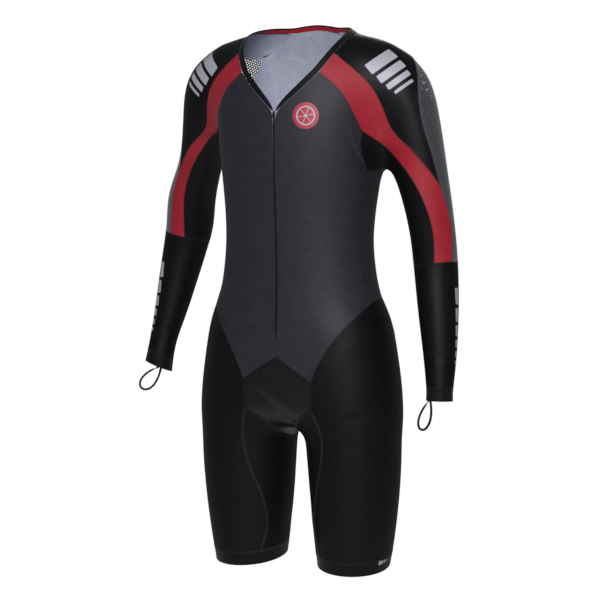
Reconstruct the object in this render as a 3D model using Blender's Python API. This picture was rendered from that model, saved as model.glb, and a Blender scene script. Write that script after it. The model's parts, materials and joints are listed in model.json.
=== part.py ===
"""Cycling speed suit: worn-form walls of every sewn piece, in metres, front towards -Y."""
import bpy
import math
import numpy as np

# driving dimensions, in metres
WALL = 0.0012            # cloth wall
SEAM_GAP = 0.0003        # between neighbouring pieces
ZIP_WIDTH = 0.0044
ZIP_END_Z = -0.540
BINDING_WIDTH = 0.0120
BINDING_AT_ZIP = 0.0060
BINDING_WALL = 0.0020
LEG_HEM = 0.0240
INSERT_TAPE = 0.0056
TAPE_UNDER = 1           # steps that it runs under the body on each side
LOOP_TAPE = (0.0046, 0.0012)   # width and thickness
LOOP_ENDS_APART = 0.0070
LOOP_INSIDE = 0.0090           # of each end, up inside the cuff
VIEW_TURN = 25.0               # the loops lie across this direction, in degrees from the front
CROTCH_Z = -0.722        # foot of the trunk form, where the legs take over

# soft joins between the forms of the figure
JOIN_ARM = 0.042
JOIN_LEG = 0.020
JOIN_HIP = 0.030
LEG_DEPTH = 1.06         # thigh depth over its width

# trunk sections: height, half width, front depth, back depth, centre y, roundness
TRUNK = np.array([
    (+0.060, 0.066, 0.050, 0.046, 0.024, 2.0),
    (+0.030, 0.077, 0.058, 0.052, 0.022, 2.0),
    (+0.012, 0.096, 0.066, 0.060, 0.020, 2.0),
    (-0.005, 0.123, 0.078, 0.070, 0.018, 2.0),
    (-0.025, 0.150, 0.092, 0.084, 0.017, 2.1),
    (-0.050, 0.164, 0.104, 0.096, 0.015, 2.1),
    (-0.090, 0.168, 0.114, 0.108, 0.013, 2.2),
    (-0.150, 0.164, 0.124, 0.112, 0.012, 2.2),
    (-0.220, 0.157, 0.125, 0.106, 0.012, 2.2),
    (-0.300, 0.147, 0.113, 0.096, 0.006, 2.2),
    (-0.380, 0.143, 0.102, 0.090, 0.000, 2.2),
    (-0.450, 0.151, 0.100, 0.095, 0.000, 2.2),
    (-0.520, 0.167, 0.104, 0.108, 0.002, 2.2),
    (-0.590, 0.179, 0.108, 0.120, 0.004, 2.2),
    (-0.650, 0.185, 0.107, 0.122, 0.005, 2.2),
    (-0.720, 0.182, 0.098, 0.116, 0.006, 2.2),
    (-0.800, 0.174, 0.088, 0.104, 0.006, 2.2),
])

# limb axes: x, y, z, radius (the wearer's left is +x)
ARM_LEFT = np.array([
    (0.150, 0.024, -0.070, 0.0560),
    (0.187, 0.028, -0.100, 0.0600),
    (0.212, 0.030, -0.170, 0.0535),
    (0.234, 0.032, -0.265, 0.0465),
    (0.249, 0.036, -0.350, 0.0425),
    (0.257, 0.036, -0.420, 0.0410),
    (0.268, 0.022, -0.500, 0.0375),
    (0.278, 0.006, -0.580, 0.0305),
    (0.283, -0.008, -0.650, 0.0240),
    (0.283, -0.012, -0.690, 0.0290),
])
ARM_RIGHT = np.array([
    (-0.150, 0.024, -0.070, 0.0560),
    (-0.187, 0.030, -0.100, 0.0600),
    (-0.219, 0.054, -0.165, 0.0495),
    (-0.256, 0.090, -0.240, 0.0415),
    (-0.293, 0.122, -0.310, 0.0465),
    (-0.307, 0.138, -0.370, 0.0460),
    (-0.324, 0.132, -0.450, 0.0400),
    (-0.338, 0.118, -0.530, 0.0325),
    (-0.350, 0.104, -0.595, 0.0260),
    (-0.359, 0.096, -0.660, 0.0290),
])
LEG_LEFT = np.array([
    (0.088, 0.006, -0.560, 0.0850),
    (0.103, 0.006, -0.680, 0.0890),
    (0.109, 0.004, -0.760, 0.0885),
    (0.112, 0.002, -0.840, 0.0835),
    (0.113, -0.002, -0.920, 0.0755),
    (0.113, -0.006, -1.000, 0.0640),
    (0.113, -0.010, -1.080, 0.0570),
])
LEG_RIGHT = np.array([
    (-0.088, 0.006, -0.560, 0.0850),
    (-0.102, 0.006, -0.680, 0.0900),
    (-0.106, 0.004, -0.760, 0.0895),
    (-0.105, 0.002, -0.840, 0.0845),
    (-0.102, -0.002, -0.920, 0.0755),
    (-0.098, -0.006, -1.000, 0.0650),
    (-0.096, -0.010, -1.080, 0.0580),
])
ARMS = {1: ARM_LEFT, -1: ARM_RIGHT}
LEGS = {1: LEG_LEFT, -1: LEG_RIGHT}

# where the sleeve is cut across, as a place along the arm's table
FOREARM_AT = {1: 4.95, -1: 5.18}
CUFF_SEAM_AT = {1: 7.80, -1: 8.40}
CUFF_AT = {1: 8.24, -1: 8.76}
CUFF_TILT = {1: (0.02, 0.0), -1: (0.10, -110.0)}

# the red band's edges on the arm: place along the arm, inner and outer angle on the left and right
BAND = [
    (2.25, -46.0, -2.0, -28.0, 2.0),
    (2.60, -22.0, 22.0, -15.0, 16.0),
    (2.90, -4.0, 43.0, -8.0, 26.0),
    (3.60, 18.0, 70.0, -9.0, 28.0),
    (4.30, 24.0, 76.0, -14.0, 23.0),
]
BAND_END = {1: (18.0, 68.0), -1: (-19.0, 21.0)}
BAND_MEET = {1: (3.20, 60.0), -1: (3.20, 30.0)}
MESH_END = {1: 128.0, -1: 84.0}
UNDERARM_ANGLE = {1: -112.0, -1: -125.0}

# thumb loops: length, half width, lean from straight down towards the wearer's right
LOOPS = {1: (0.054, 0.0095, 15.0), -1: (0.054, 0.0120, 40.0)}
LOOP_ANGLE = -32.0
LOOP_TILT = 50.0               # of the hanging tape's width towards the loop's middle, in degrees

COLOURS = {
    "charcoal": (0.030, 0.031, 0.040),
    "black": (0.011, 0.011, 0.014),
    "binding": (0.005, 0.005, 0.006),
    "red": (0.40, 0.020, 0.035),
    "mesh": (0.035, 0.036, 0.042),
    "insert": (0.014, 0.012, 0.014),
}

for old in list(bpy.data.objects):
    bpy.data.objects.remove(old)
suit = bpy.data.collections.new("speed_suit")
bpy.context.scene.collection.children.link(suit)


def read_table(x, table):
    """Smooth reading of a table's other columns at x, the first column."""
    order = np.argsort(table[:, 0])
    xs = table[order, 0]
    ys = table[order][:, 1:]
    slope = np.gradient(ys, xs, axis=0)
    i = np.clip(np.searchsorted(xs, x) - 1, 0, len(xs) - 2)
    h = xs[i + 1] - xs[i]
    t = np.clip((x - xs[i]) / h, 0, 1)[:, None]
    h = h[:, None]
    start = (2 * t**3 - 3 * t**2 + 1) * ys[i] + (t**3 - 2 * t**2 + t) * h * slope[i]
    return start + (3 * t**2 - 2 * t**3) * ys[i + 1] + (t**3 - t**2) * h * slope[i + 1]


def along(table, t):
    """Smooth reading of a limb's table at the places t, counted in rows."""
    rows = np.arange(len(table), dtype=float)
    return read_table(np.atleast_1d(np.asarray(t, float)), np.column_stack([rows, table]))


def soft_min(a, b, k):
    h = np.clip(0.5 + 0.5 * (b - a) / k, 0, 1)
    return b + (a - b) * h - k * h * (1 - h)


def trunk_form(p):
    a, front, back, centre, n = read_table(p[:, 2], TRUNK).T
    y = p[:, 1] - centre
    depth = np.where(y < 0, front, back)
    r = ((np.abs(p[:, 0]) / a) ** n + (np.abs(y) / depth) ** n + 1e-12) ** (1 / n)
    body = (r - 1) * np.minimum(a, depth)
    return -soft_min(-body, -(CROTCH_Z - p[:, 2]), 0.04)


def limb_axis(table, depth=1.0):
    """A limb's axis in short straight steps: starts, steps and radii."""
    axis = along(table, np.linspace(0, len(table) - 1, (len(table) - 1) * 3 + 1))
    scale = np.array((1, 1 / depth, 1))
    start = axis[:-1, :3] * scale
    step = axis[1:, :3] * scale - start
    return scale, start, step, (step * step).sum(1), axis[:-1, 3], np.diff(axis[:, 3])


AXES = [limb_axis(LEG_LEFT, LEG_DEPTH), limb_axis(LEG_RIGHT, LEG_DEPTH), limb_axis(ARM_LEFT),
        limb_axis(ARM_RIGHT)]


def limb_form(p, axis):
    scale, start, step, square, radius, grow = axis
    away = (p * scale)[:, None, :] - start[None]
    t = np.clip(np.einsum("ijk,jk->ij", away, step) / square, 0, 1)
    away -= t[:, :, None] * step
    return (np.sqrt(np.einsum("ijk,ijk->ij", away, away)) - radius - t * grow).min(axis=1)


def form(p):
    """The figure that the suit is worn on: below zero inside."""
    leg_left, leg_right, arm_left, arm_right = [limb_form(p, axis) for axis in AXES]
    f = soft_min(trunk_form(p), soft_min(leg_left, leg_right, JOIN_LEG), JOIN_HIP)
    return soft_min(soft_min(f, arm_left, JOIN_ARM), arm_right, JOIN_ARM)


def value_and_slope(p, e=0.00002):
    """The form and its gradient at the points."""
    steps = np.concatenate([np.zeros((1, 3)), np.eye(3) * e])
    f = form((p[None] + steps[:, None]).reshape(-1, 3)).reshape(4, -1)
    return f[0], ((f[1:] - f[0]) / e).T


def project(p, steps=4):
    """Points moved onto the figure."""
    p = np.array(p, float)
    shape = p.shape
    p = p.reshape(-1, 3)
    for _ in range(steps):
        f, g = value_and_slope(p)
        p = p - (f / np.maximum((g * g).sum(1), 0.05))[:, None] * g
    return p.reshape(shape)


def normals(p):
    g = value_and_slope(p.reshape(-1, 3))[1]
    return (g / np.linalg.norm(g, axis=1)[:, None]).reshape(p.shape)


def on_trunk(angle, z, side=1):
    """A point on the trunk: angle 0 at the front, 90 at the side, 180 at the back."""
    centre = read_table(np.array([z]), TRUNK)[0, 3]
    a = math.radians(angle)
    ray = np.array((side * math.sin(a), -math.cos(a), 0))
    near, far = 0.0, 0.4
    origin = np.array((0, centre, z))
    for _ in range(40):
        mid = (near + far) / 2
        if trunk_form((origin + ray * mid)[None])[0] < 0:
            near = mid
        else:
            far = mid
    return project((origin + ray * near)[None])[0]


def on_limb(table, t, angle, side):
    """A point on a limb: angle 0 at the front, 90 on its outer side."""
    here, step = along(table, [t, t + 0.02])
    tangent = step[:3] - here[:3]
    tangent /= np.linalg.norm(tangent)
    front = np.array((0, -1.0, 0))
    front -= tangent * (front @ tangent)
    front /= np.linalg.norm(front)
    outer = np.cross(tangent, front)
    outer *= np.sign(outer[0]) * side
    a = math.radians(angle)
    return here[:3] + here[3] * (math.cos(a) * front + math.sin(a) * outer)


def on_arm(t, angle, side):
    return project(on_limb(ARMS[side], t, angle, side)[None])[0]


def on_leg(z, angle, side):
    table = LEGS[side]
    t = np.interp(-z, -table[:, 2], np.arange(len(table)))
    p = on_limb(table, t, angle, side)
    for _ in range(3):
        p[2] = z
        p = project(p[None])[0]
    return p


def at(x, y, z, side=1):
    return project(np.array([(x * side, y, z)]))[0]


def seam(points, count):
    """A smooth curve through the points, on the figure, in count equal steps."""
    p = np.array(points, float)
    steps = np.linalg.norm(np.diff(p, axis=0), axis=1)
    length = np.concatenate([[0], np.cumsum(steps)])
    if len(p) > 2:
        dense = np.linspace(0, length[-1], 12 * (len(p) - 1) + 1)
        curve = project(read_table(dense, np.column_stack([length, p])))
    else:
        curve = project(p[0] + (p[1] - p[0]) * np.linspace(0, 1, 13)[:, None])
    curve[0], curve[-1] = p[0], p[-1]
    for _ in range(2):
        steps = np.linalg.norm(np.diff(curve, axis=0), axis=1)
        length = np.concatenate([[0], np.cumsum(steps)])
        even = np.linspace(0, length[-1], count + 1)
        out = np.column_stack([np.interp(even, length, curve[:, i]) for i in range(3)])
    out = project(out)
    out[0], out[-1] = p[0], p[-1]
    return out


def join(*curves):
    """Curves end to end, each shared point once."""
    return np.concatenate([curves[0]] + [c[1:] for c in curves[1:]])


def blend(left, right, top, bottom):
    """The inside of four edges: left and right run down, top and bottom run across."""
    rows, cols = len(left), len(top)
    v = np.linspace(0, 1, rows)[:, None, None]
    u = np.linspace(0, 1, cols)[None, :, None]
    across = left[:, None] * (1 - u) + right[:, None] * u
    down = top[None] * (1 - v) + bottom[None] * v
    corners = (top[0] * (1 - v) * (1 - u) + top[-1] * (1 - v) * u
               + bottom[0] * v * (1 - u) + bottom[-1] * v * u)
    return across + down - corners


def panel(left, right, top, bottom, guides=(), rounds=14):
    """A grid on the figure between four edges; guides are (column, curve) pairs inside it."""
    stops = [(0, left)] + list(guides) + [(len(top) - 1, right)]
    blocks = []
    for (c0, a), (c1, b) in zip(stops[:-1], stops[1:]):
        block = blend(a, b, top[c0:c1 + 1], bottom[c0:c1 + 1])
        blocks.append(block if c1 == len(top) - 1 else block[:, :-1])
    grid = project(np.concatenate(blocks, axis=1), 8)
    grid[:, 0], grid[:, -1], grid[0], grid[-1] = left, right, top, bottom
    for _ in range(rounds):
        mean = (grid[:-2, 1:-1] + grid[2:, 1:-1] + grid[1:-1, :-2] + grid[1:-1, 2:]) / 4
        grid[1:-1, 1:-1] = project(grid[1:-1, 1:-1] * 0.4 + mean * 0.6, 1)
    grid[1:-1, 1:-1] = project(grid[1:-1, 1:-1], 3)
    return grid


def tube(top, bottom, rows, bend=None):
    """A closed grid between two loops, each with its first point repeated at the end."""
    v = np.linspace(0, 1, rows + 1)[:, None, None]
    grid = top[None] * (1 - v) + bottom[None] * v
    if bend is not None:
        grid = grid + bend(v)
    grid[1:-1] = project(grid[1:-1], 8)
    return grid[:, :-1]


def inset(grid, left, right, top, bottom):
    """The grid with each edge moved in by its amount, squarely to the edge."""
    g = grid.copy()

    def move(edge, inner, amount):
        run = np.gradient(edge, axis=0)
        way = np.cross(normals(edge), run)
        way /= np.maximum(np.linalg.norm(way, axis=1), 1e-9)[:, None]
        way *= np.sign((way * (inner - edge)).sum())
        return edge + way * np.broadcast_to(amount, len(edge))[:, None]

    if top is not None:
        g[0] = move(g[0], grid[1], top)
    if bottom is not None:
        g[-1] = move(g[-1], grid[-2], bottom)
    if left is not None:
        g[:, 0] = move(g[:, 0], g[:, 1], left)
    if right is not None:
        g[:, -1] = move(g[:, -1], g[:, -2], right)
    return g


def solid(name, grid, colour, out=WALL / 2, inn=WALL / 2, edges=None, closed=False):
    """A wall made of a grid of points on the figure: out and inn are its two faces' distances."""
    half = SEAM_GAP / 2
    edges = edges or {}
    sides = [edges.get(key, half) for key in ("left", "right", "top", "bottom")]
    if closed:
        sides[0] = sides[1] = None
    g = inset(grid, *sides)
    n = normals(grid)
    rows, cols = g.shape[:2]
    count = rows * cols
    faces_out = g + n * out
    faces_in = g - n * inn
    verts = np.concatenate([faces_out.reshape(-1, 3), faces_in.reshape(-1, 3)])
    faces = []
    wrap = cols if closed else cols - 1
    for i in range(rows - 1):
        for j in range(wrap):
            k = (j + 1) % cols
            a, b, c, d = i * cols + j, i * cols + k, (i + 1) * cols + k, (i + 1) * cols + j
            faces.append((a, d, c, b))
            faces.append((a + count, b + count, c + count, d + count))
    rim = []
    for j in range(wrap):
        k = (j + 1) % cols
        rim.append((j, k))
        rim.append(((rows - 1) * cols + k, (rows - 1) * cols + j))
    if not closed:
        for i in range(rows - 1):
            rim.append(((i + 1) * cols, i * cols))
            rim.append((i * cols + cols - 1, (i + 1) * cols + cols - 1))
    for a, b in rim:
        faces.append((a, b, b + count, a + count))
    return mesh_object(name, verts, faces, colour)


def mesh_object(name, verts, faces, colour):
    mesh = bpy.data.meshes.new(name)
    mesh.from_pydata([tuple(v) for v in verts], [], faces)
    mesh.validate()
    ob = bpy.data.objects.new(name, mesh)
    suit.objects.link(ob)
    bpy.ops.object.select_all(action="DESELECT")
    ob.select_set(True)
    bpy.context.view_layer.objects.active = ob
    bpy.ops.object.mode_set(mode="EDIT")
    bpy.ops.mesh.select_all(action="SELECT")
    bpy.ops.mesh.remove_doubles(threshold=0.00002)
    bpy.ops.mesh.normals_make_consistent(inside=False)
    bpy.ops.object.mode_set(mode="OBJECT")
    material = bpy.data.materials.new(name)
    material.use_nodes = True
    shader = material.node_tree.nodes["Principled BSDF"]
    shader.inputs["Base Color"].default_value = (*COLOURS[colour], 1)
    shader.inputs["Roughness"].default_value = 0.6
    mesh.materials.append(material)
    return ob


def beside(curve, width, way):
    """A curve moved by width over the figure, squarely, to the side that way points to."""
    run = np.gradient(curve, axis=0)
    across = np.cross(normals(curve), run)
    across /= np.linalg.norm(across, axis=1)[:, None]
    sign = np.sign((across * way).sum(1))[:, None]
    return project(curve + across * sign * width)


def underarm(side):
    """The middle of the fold between trunk and arm, seen from below."""
    x = np.linspace(0.140, 0.215, 26) * side
    y = np.linspace(0.000, 0.090, 19)
    flat = np.stack(np.meshgrid(y, x, indexing="ij"), axis=2).reshape(-1, 2)[:, ::-1]
    low = np.full(len(flat), -0.33)
    high = np.full(len(flat), -0.12)
    for _ in range(24):
        mid = (low + high) / 2
        out = form(np.column_stack([flat, mid])) > 0
        low = np.where(out, mid, low)
        high = np.where(out, high, mid)
    top = high.reshape(len(y), len(x))
    ridge = top.argmax(axis=1)
    i = top.max(axis=1).argmin()
    return project(np.array([(x[ridge[i]], y[i], top[i, ridge[i]])]))[0]


# seams that both sides share
NECK_FRONT = on_trunk(0, -0.140)
NECK_BACK = on_trunk(180, 0.012)
INSERT_TOP = on_trunk(0, -0.588)
YOKE_BACK = on_trunk(180, -0.455)
GUSSET_END = at(0, 0.125, -0.640)
for point in (NECK_FRONT, NECK_BACK, INSERT_TOP, YOKE_BACK, GUSSET_END):
    point[0] = 0.0
CENTRE_FRONT = seam([NECK_FRONT] + [on_trunk(0, z) for z in (-0.22, -0.32, -0.42, -0.50, -0.55)]
                    + [INSERT_TOP], 16)
CENTRE_BACK = seam([YOKE_BACK] + [on_trunk(180, z) for z in (-0.52, -0.58)] + [GUSSET_END], 7)


def side_seams(side):
    s = {}
    neck1 = on_trunk(38, -0.068, side)
    neck2 = on_trunk(51, -0.034, side)
    neck3 = on_trunk(138, 0.006, side)
    kink = at(0.143, -0.060, -0.170, side)
    fold = underarm(side)
    arm_pit = on_trunk(96, fold[2] - 0.016, side)
    hip = on_trunk(80, -0.487, side)
    corner = on_trunk(33, -0.631, side)
    insert_low = at(0.066, -0.096, -0.684, side)
    under_back = at(0.017, 0.078, -0.722, side)
    gusset_end = GUSSET_END
    mesh1 = at(0.112, 0.092, -0.034, side)
    mesh2 = at(0.152, 0.098, -0.135, side)
    t_fore = FOREARM_AT[side]
    meet = on_arm(*BAND_MEET[side], side)

    s["neck_front"] = seam([NECK_FRONT, on_trunk(19, -0.107, side), neck1], 5)
    s["neck_band"] = seam([neck1, neck2], 2)
    s["neck_top"] = seam([neck2, on_trunk(72, -0.004, side), on_trunk(100, 0.006, side), neck3], 5)
    s["neck_back"] = seam([neck3, on_trunk(160, 0.010, side), NECK_BACK], 3)

    s["raglan_high"] = seam([neck1, at(0.110, -0.078, -0.095, side), at(0.132, -0.070, -0.128, side),
                             kink], 6)
    low = arm_pit[2]
    s["raglan_low"] = seam([kink, at(0.139, -0.058, kink[2] * 0.5 + low * 0.5, side),
                            at(0.149, -0.034, low + 0.006, side), arm_pit], 5)
    s["back_high"] = seam([neck3, mesh1], 2)
    s["back_mid"] = seam([mesh1, at(0.138, 0.102, -0.085, side), mesh2], 4)
    s["back_low"] = seam([mesh2, on_trunk(126, mesh2[2] * 0.5 + low * 0.5, side),
                          on_trunk(114, low + 0.010, side), arm_pit], 11)

    band = [row for row in BAND if row[0] < t_fore]
    columns = (1, 2) if side > 0 else (3, 4)
    inner = [on_arm(row[0], row[columns[0]], side) for row in band]
    outer = [on_arm(row[0], row[columns[1]], side) for row in band]
    end_in, end_out = [on_arm(t_fore, a, side) for a in BAND_END[side]]
    end_mesh = on_arm(t_fore, MESH_END[side], side)
    end_under = on_arm(t_fore, UNDERARM_ANGLE[side], side)
    s["band_in"] = seam([kink] + inner + [end_in], 12)
    high = [at(0.130, -0.057, -0.061, side), at(0.160, -0.041, -0.092, side),
            at(0.181, -0.030, -0.135, side), at(0.198, -0.014, -0.178, side)]
    upper = [p for row, p in zip(band, outer) if row[0] < BAND_MEET[side][0] - 0.05]
    lower = [p for row, p in zip(band, outer) if row[0] > BAND_MEET[side][0] + 0.05]
    s["band_out_high"] = seam([neck2] + high + upper + [meet], 13)
    s["band_out_low"] = seam([meet] + lower + [end_out], 5)
    shoulder = [(0.70, 88), (1.38, 48), (1.98, 42), (2.60, 51)]
    if side < 0:
        shoulder = [(0.70, 88), (1.38, 60), (1.98, 50), (2.60, 42)]
    front = [at(0.150, 0.080, -0.036, side)] + [on_arm(t, a, side) for t, a in shoulder]
    s["mesh_front"] = seam([mesh1] + front + [meet], 13)
    back = [(1.2, 152), (2.0, 140), (3.0, 134), (4.0, 130)]
    if side < 0:
        back = [(1.2, 148), (2.0, 124), (3.0, 104), (4.0, 92)]
    s["mesh_back"] = seam([mesh2] + [on_arm(t, a, side) for t, a in back] + [end_mesh], 18)
    under = [(2.6, UNDERARM_ANGLE[side] + 12), (3.2, UNDERARM_ANGLE[side] + 6),
             (4.1, UNDERARM_ANGLE[side])]
    s["underarm"] = seam([arm_pit, fold] + [on_arm(t, a, side) for t, a in under] + [end_under], 12)

    def ring(t, start, stop, count, tilt=(0.0, 0.0)):
        angles = np.linspace(start, stop, 9)
        shift = [tilt[0] * math.cos(math.radians(a - tilt[1])) for a in angles]
        return seam([on_arm(t + d, a, side) for a, d in zip(angles, shift)], count)

    in_angle, out_angle = BAND_END[side]
    under_angle = UNDERARM_ANGLE[side]
    for name, t, tilt in (("fore", t_fore, (0, 0)), ("wrist", CUFF_SEAM_AT[side], CUFF_TILT[side]),
                          ("cuff", CUFF_AT[side], CUFF_TILT[side])):
        s[name + "_under"] = ring(t, under_angle, in_angle, 5, tilt)
        s[name + "_band"] = ring(t, in_angle, out_angle, 2, tilt)
        s[name + "_mesh"] = ring(t, out_angle, MESH_END[side], 4, tilt)
        s[name + "_back"] = ring(t, MESH_END[side], under_angle + 360, 5, tilt)
        s[name] = join(*[s[name + part] for part in ("_under", "_band", "_mesh", "_back")])

    s["side"] = seam([arm_pit, on_trunk(91, -0.30, side), on_trunk(88, -0.36, side),
                      on_trunk(85, -0.43, side), hip], 11)
    s["v_seam"] = seam([corner, on_trunk(41, -0.588, side), on_trunk(55, -0.539, side), hip], 8)
    s["insert_top"] = seam([INSERT_TOP, on_trunk(17, -0.609, side), corner], 3)
    s["yoke"] = seam([hip, on_trunk(112, -0.478, side), on_trunk(150, -0.460, side), YOKE_BACK], 9)
    s["insert_side"] = seam([corner, at(0.068, -0.098, -0.660, side), insert_low], 3)
    s["under"] = seam([insert_low, at(0.034, -0.088, -0.702, side), at(0.017, -0.052, -0.732, side),
                       at(0.015, 0.010, -0.748, side), at(0.016, 0.050, -0.738, side), under_back], 8)
    s["gusset_back"] = seam([under_back, at(0.010, 0.108, -0.690, side), gusset_end], 3)

    def hem_z(angle):
        return -0.979 - 0.010 * math.cos(math.radians(angle - 18))

    hem_front = -40.0
    hem_back = -128.0
    for name, lift in (("hem_seam", LEG_HEM), ("hem", 0.0)):
        arc = [on_leg(hem_z(a) + lift, a, side) for a in np.linspace(hem_front, hem_back + 360, 15)]
        s[name + "_out"] = seam(arc, 24)
        arc = [on_leg(hem_z(a) + lift, a, side) for a in np.linspace(hem_front, hem_back, 7)]
        s[name + "_in"] = seam(arc, 8)
        s[name] = join(s[name + "_out"], s[name + "_in"][::-1])
    inseam = [(-0.720, -14), (-0.780, -18), (-0.850, -34), (-0.905, -45)]
    if side < 0:
        inseam = [(-0.720, -17), (-0.780, -22), (-0.850, -40), (-0.905, -50)]
    s["inseam_front"] = seam([insert_low] + [on_leg(z, a, side) for z, a in inseam]
                             + [s["hem_seam_in"][0]], 13)
    s["inseam_back"] = seam([under_back] + [on_leg(z, a, side) for z, a in
                            ((-0.775, -148), (-0.840, -138), (-0.900, -131))]
                            + [s["hem_seam_in"][-1]], 13)
    return s


SEAMS = {1: side_seams(1), -1: side_seams(-1)}
GRIDS = {}

# guides round the outer leg: column along the top edge, angles from its start to the hem
LEG_GUIDES = [(4, (18, 10, 6)), (8, (74, 64, 54)), (12, (112, 104, 98)),
              (17, (200, 176, 158)), (20, (212, 196, 184))]


def leg_guide(side, start, end, angles, count):
    low = end[2] + 0.06
    zs = np.linspace(min(start[2] - 0.06, -0.60), low, len(angles))
    return seam([start] + [on_leg(z, a, side) for z, a in zip(zs, angles)] + [end], count)


for side, word in ((1, "left"), (-1, "right")):
    s = SEAMS[side]

    # front, with its edge kept clear of the zip above the zip's end
    clear = np.where(CENTRE_FRONT[:, 2] > ZIP_END_Z, (ZIP_WIDTH + SEAM_GAP) / 2, SEAM_GAP / 2)
    grid = panel(CENTRE_FRONT, join(s["raglan_low"], s["side"]), join(s["neck_front"], s["raglan_high"]),
                 join(s["insert_top"], s["v_seam"]))
    GRIDS["front", side] = grid
    solid("front_" + word, grid, "charcoal", edges={"left": clear})

    # sleeve pieces from the neck and raglan seams to the forearm seam
    grid = panel(s["band_in"], s["underarm"], s["raglan_low"], s["fore_under"][::-1])
    solid("sleeve_front_" + word, grid, "black", edges={"top": 0.0005, "left": 0.0003})
    grid = panel(join(s["raglan_high"], s["band_in"]), join(s["band_out_high"], s["band_out_low"]),
                 s["neck_band"], s["fore_band"])
    solid("red_band_" + word, grid, "red")
    tip = np.repeat(s["mesh_front"][-1:], 8, axis=0)
    grid = panel(s["band_out_high"], s["mesh_front"], join(s["neck_top"], s["back_high"]), tip)
    back_off = grid[-2].mean(axis=0) - grid[-1, 0]
    grid[-1] += back_off * 0.0012 / np.linalg.norm(back_off)
    to_tip = np.append(np.full(len(grid) - 1, 0.00025), 0.0)
    solid("sleeve_top_" + word, grid, "black", edges={"bottom": None, "left": to_tip, "right": to_tip})
    grid = panel(join(s["mesh_front"], s["band_out_low"]), s["mesh_back"], s["back_mid"], s["fore_mesh"])
    solid("mesh_" + word, grid, "mesh", edges={"right": 0.0003})
    grid = panel(s["mesh_back"], join(s["back_low"][5:], s["underarm"]), s["back_low"][:6],
                 s["fore_back"])
    solid("sleeve_back_" + word, grid, "black", edges={"top": 0.0005, "right": 0.0004})

    # forearm and cuff hem, closed round the arm
    solid("forearm_" + word, tube(s["fore"], s["wrist"], 8), "black", closed=True)
    solid("cuff_hem_" + word, tube(s["wrist"], s["cuff"], 2), "black", closed=True)

    # leg, inner leg and hem
    left = join(s["insert_side"], s["inseam_front"])
    right = join(s["gusset_back"][::-1], s["inseam_back"])
    top = join(s["v_seam"], s["yoke"], CENTRE_BACK)
    bottom = s["hem_seam_out"]
    guides = [(column, leg_guide(side, top[column], bottom[column], angles, len(left) - 1))
              for column, angles in LEG_GUIDES]
    grid = panel(left, right, top, bottom, guides)
    GRIDS["leg", side] = grid
    solid("leg_" + word, grid, "black")
    grid = panel(s["inseam_front"], s["inseam_back"], s["under"], s["hem_seam_in"])
    GRIDS["inner_leg", side] = grid
    solid("inner_leg_" + word, grid, "black", edges={"top": 0.00025})
    solid("leg_hem_" + word, tube(s["hem_seam"], s["hem"], 2), "black", closed=True)

# back: one piece from side seam to side seam
sl, sr = SEAMS[1], SEAMS[-1]
half = {side: join(SEAMS[side]["neck_back"][::-1], SEAMS[side]["back_high"], SEAMS[side]["back_mid"])
        for side in (1, -1)}
top = join(half[1][::-1], half[-1])
bottom = join(sl["yoke"], sr["yoke"][::-1])
middle = seam([NECK_BACK] + [on_trunk(180, z) for z in (-0.08, -0.16, -0.25, -0.35)] + [YOKE_BACK], 22)
grid = panel(join(sl["back_low"], sl["side"]), join(sr["back_low"], sr["side"]), top, bottom, [(9, middle)])
solid("back", grid, "charcoal")

# crotch insert, from its two front corners under the body to the seat
left = join(sl["insert_side"], sl["under"], sl["gusset_back"])
right = join(sr["insert_side"], sr["under"], sr["gusset_back"])
top = join(sl["insert_top"][::-1], sr["insert_top"])
bottom = np.repeat(GUSSET_END[None], 7, axis=0)
middle = seam([INSERT_TOP, at(0, -0.103, -0.650), at(0, -0.085, -0.700), at(0, -0.050, -0.735),
               at(0, 0.010, -0.750), at(0, 0.060, -0.740), at(0, 0.100, -0.700), GUSSET_END], 14)
grid = panel(left, right, top, bottom, [(3, middle)])
grid[-1] += (grid[-2, 3] - grid[-1, 3]) * 0.05
GRIDS["insert"] = grid
room = np.where(np.arange(len(left)) > 3, 0.0004, SEAM_GAP / 2)
room[-1] = 0.0
solid("crotch_insert", grid, "insert", edges={"left": room, "right": room, "bottom": None})

# neck binding: from the neck seam to the open edge, both ends cut to meet at the zip
side_curve = {side: join(*[SEAMS[side][key] for key in ("neck_front", "neck_band", "neck_top", "neck_back")])
              for side in (1, -1)}
neck = join(side_curve[1], side_curve[-1][::-1])
width = BINDING_WIDTH * np.ones((len(neck), 1))
edge = beside(neck, width, np.array((0, 0, 1.0)))
middle = len(neck) // 2
edge[0] = edge[-1] = project((NECK_FRONT + np.array((0, 0, BINDING_AT_ZIP)))[None])[0]
edge[0, 0] = edge[-1, 0] = edge[middle, 0] = 0.0
for place, share in ((1, 0.72), (2, 0.92)):
    for i in (place, -1 - place):
        edge[i] = neck[i] + (edge[i] - neck[i]) * share
edge = project(edge)
grid = np.stack([edge, edge * 0.5 + neck * 0.5, neck])
grid[1] = project(grid[1])
clear = (ZIP_WIDTH + SEAM_GAP) / 2
solid("neck_binding", grid, "binding", out=BINDING_WALL / 2, inn=BINDING_WALL / 2,
      edges={"left": clear, "right": clear, "top": None})

# tape inside the back of the neck
inside = neck[10:-10]
up = np.array((0, 0, 1.0))
grid = np.stack([beside(inside, BINDING_WIDTH * share, up) for share in (0.8, 0.45, 0.1)])
clearance = BINDING_WALL / 2 + 0.0008
solid("neck_tape", grid, "red", out=-clearance, inn=clearance + 0.0008, edges={key: None for key in
      ("left", "right", "top", "bottom")})

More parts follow.
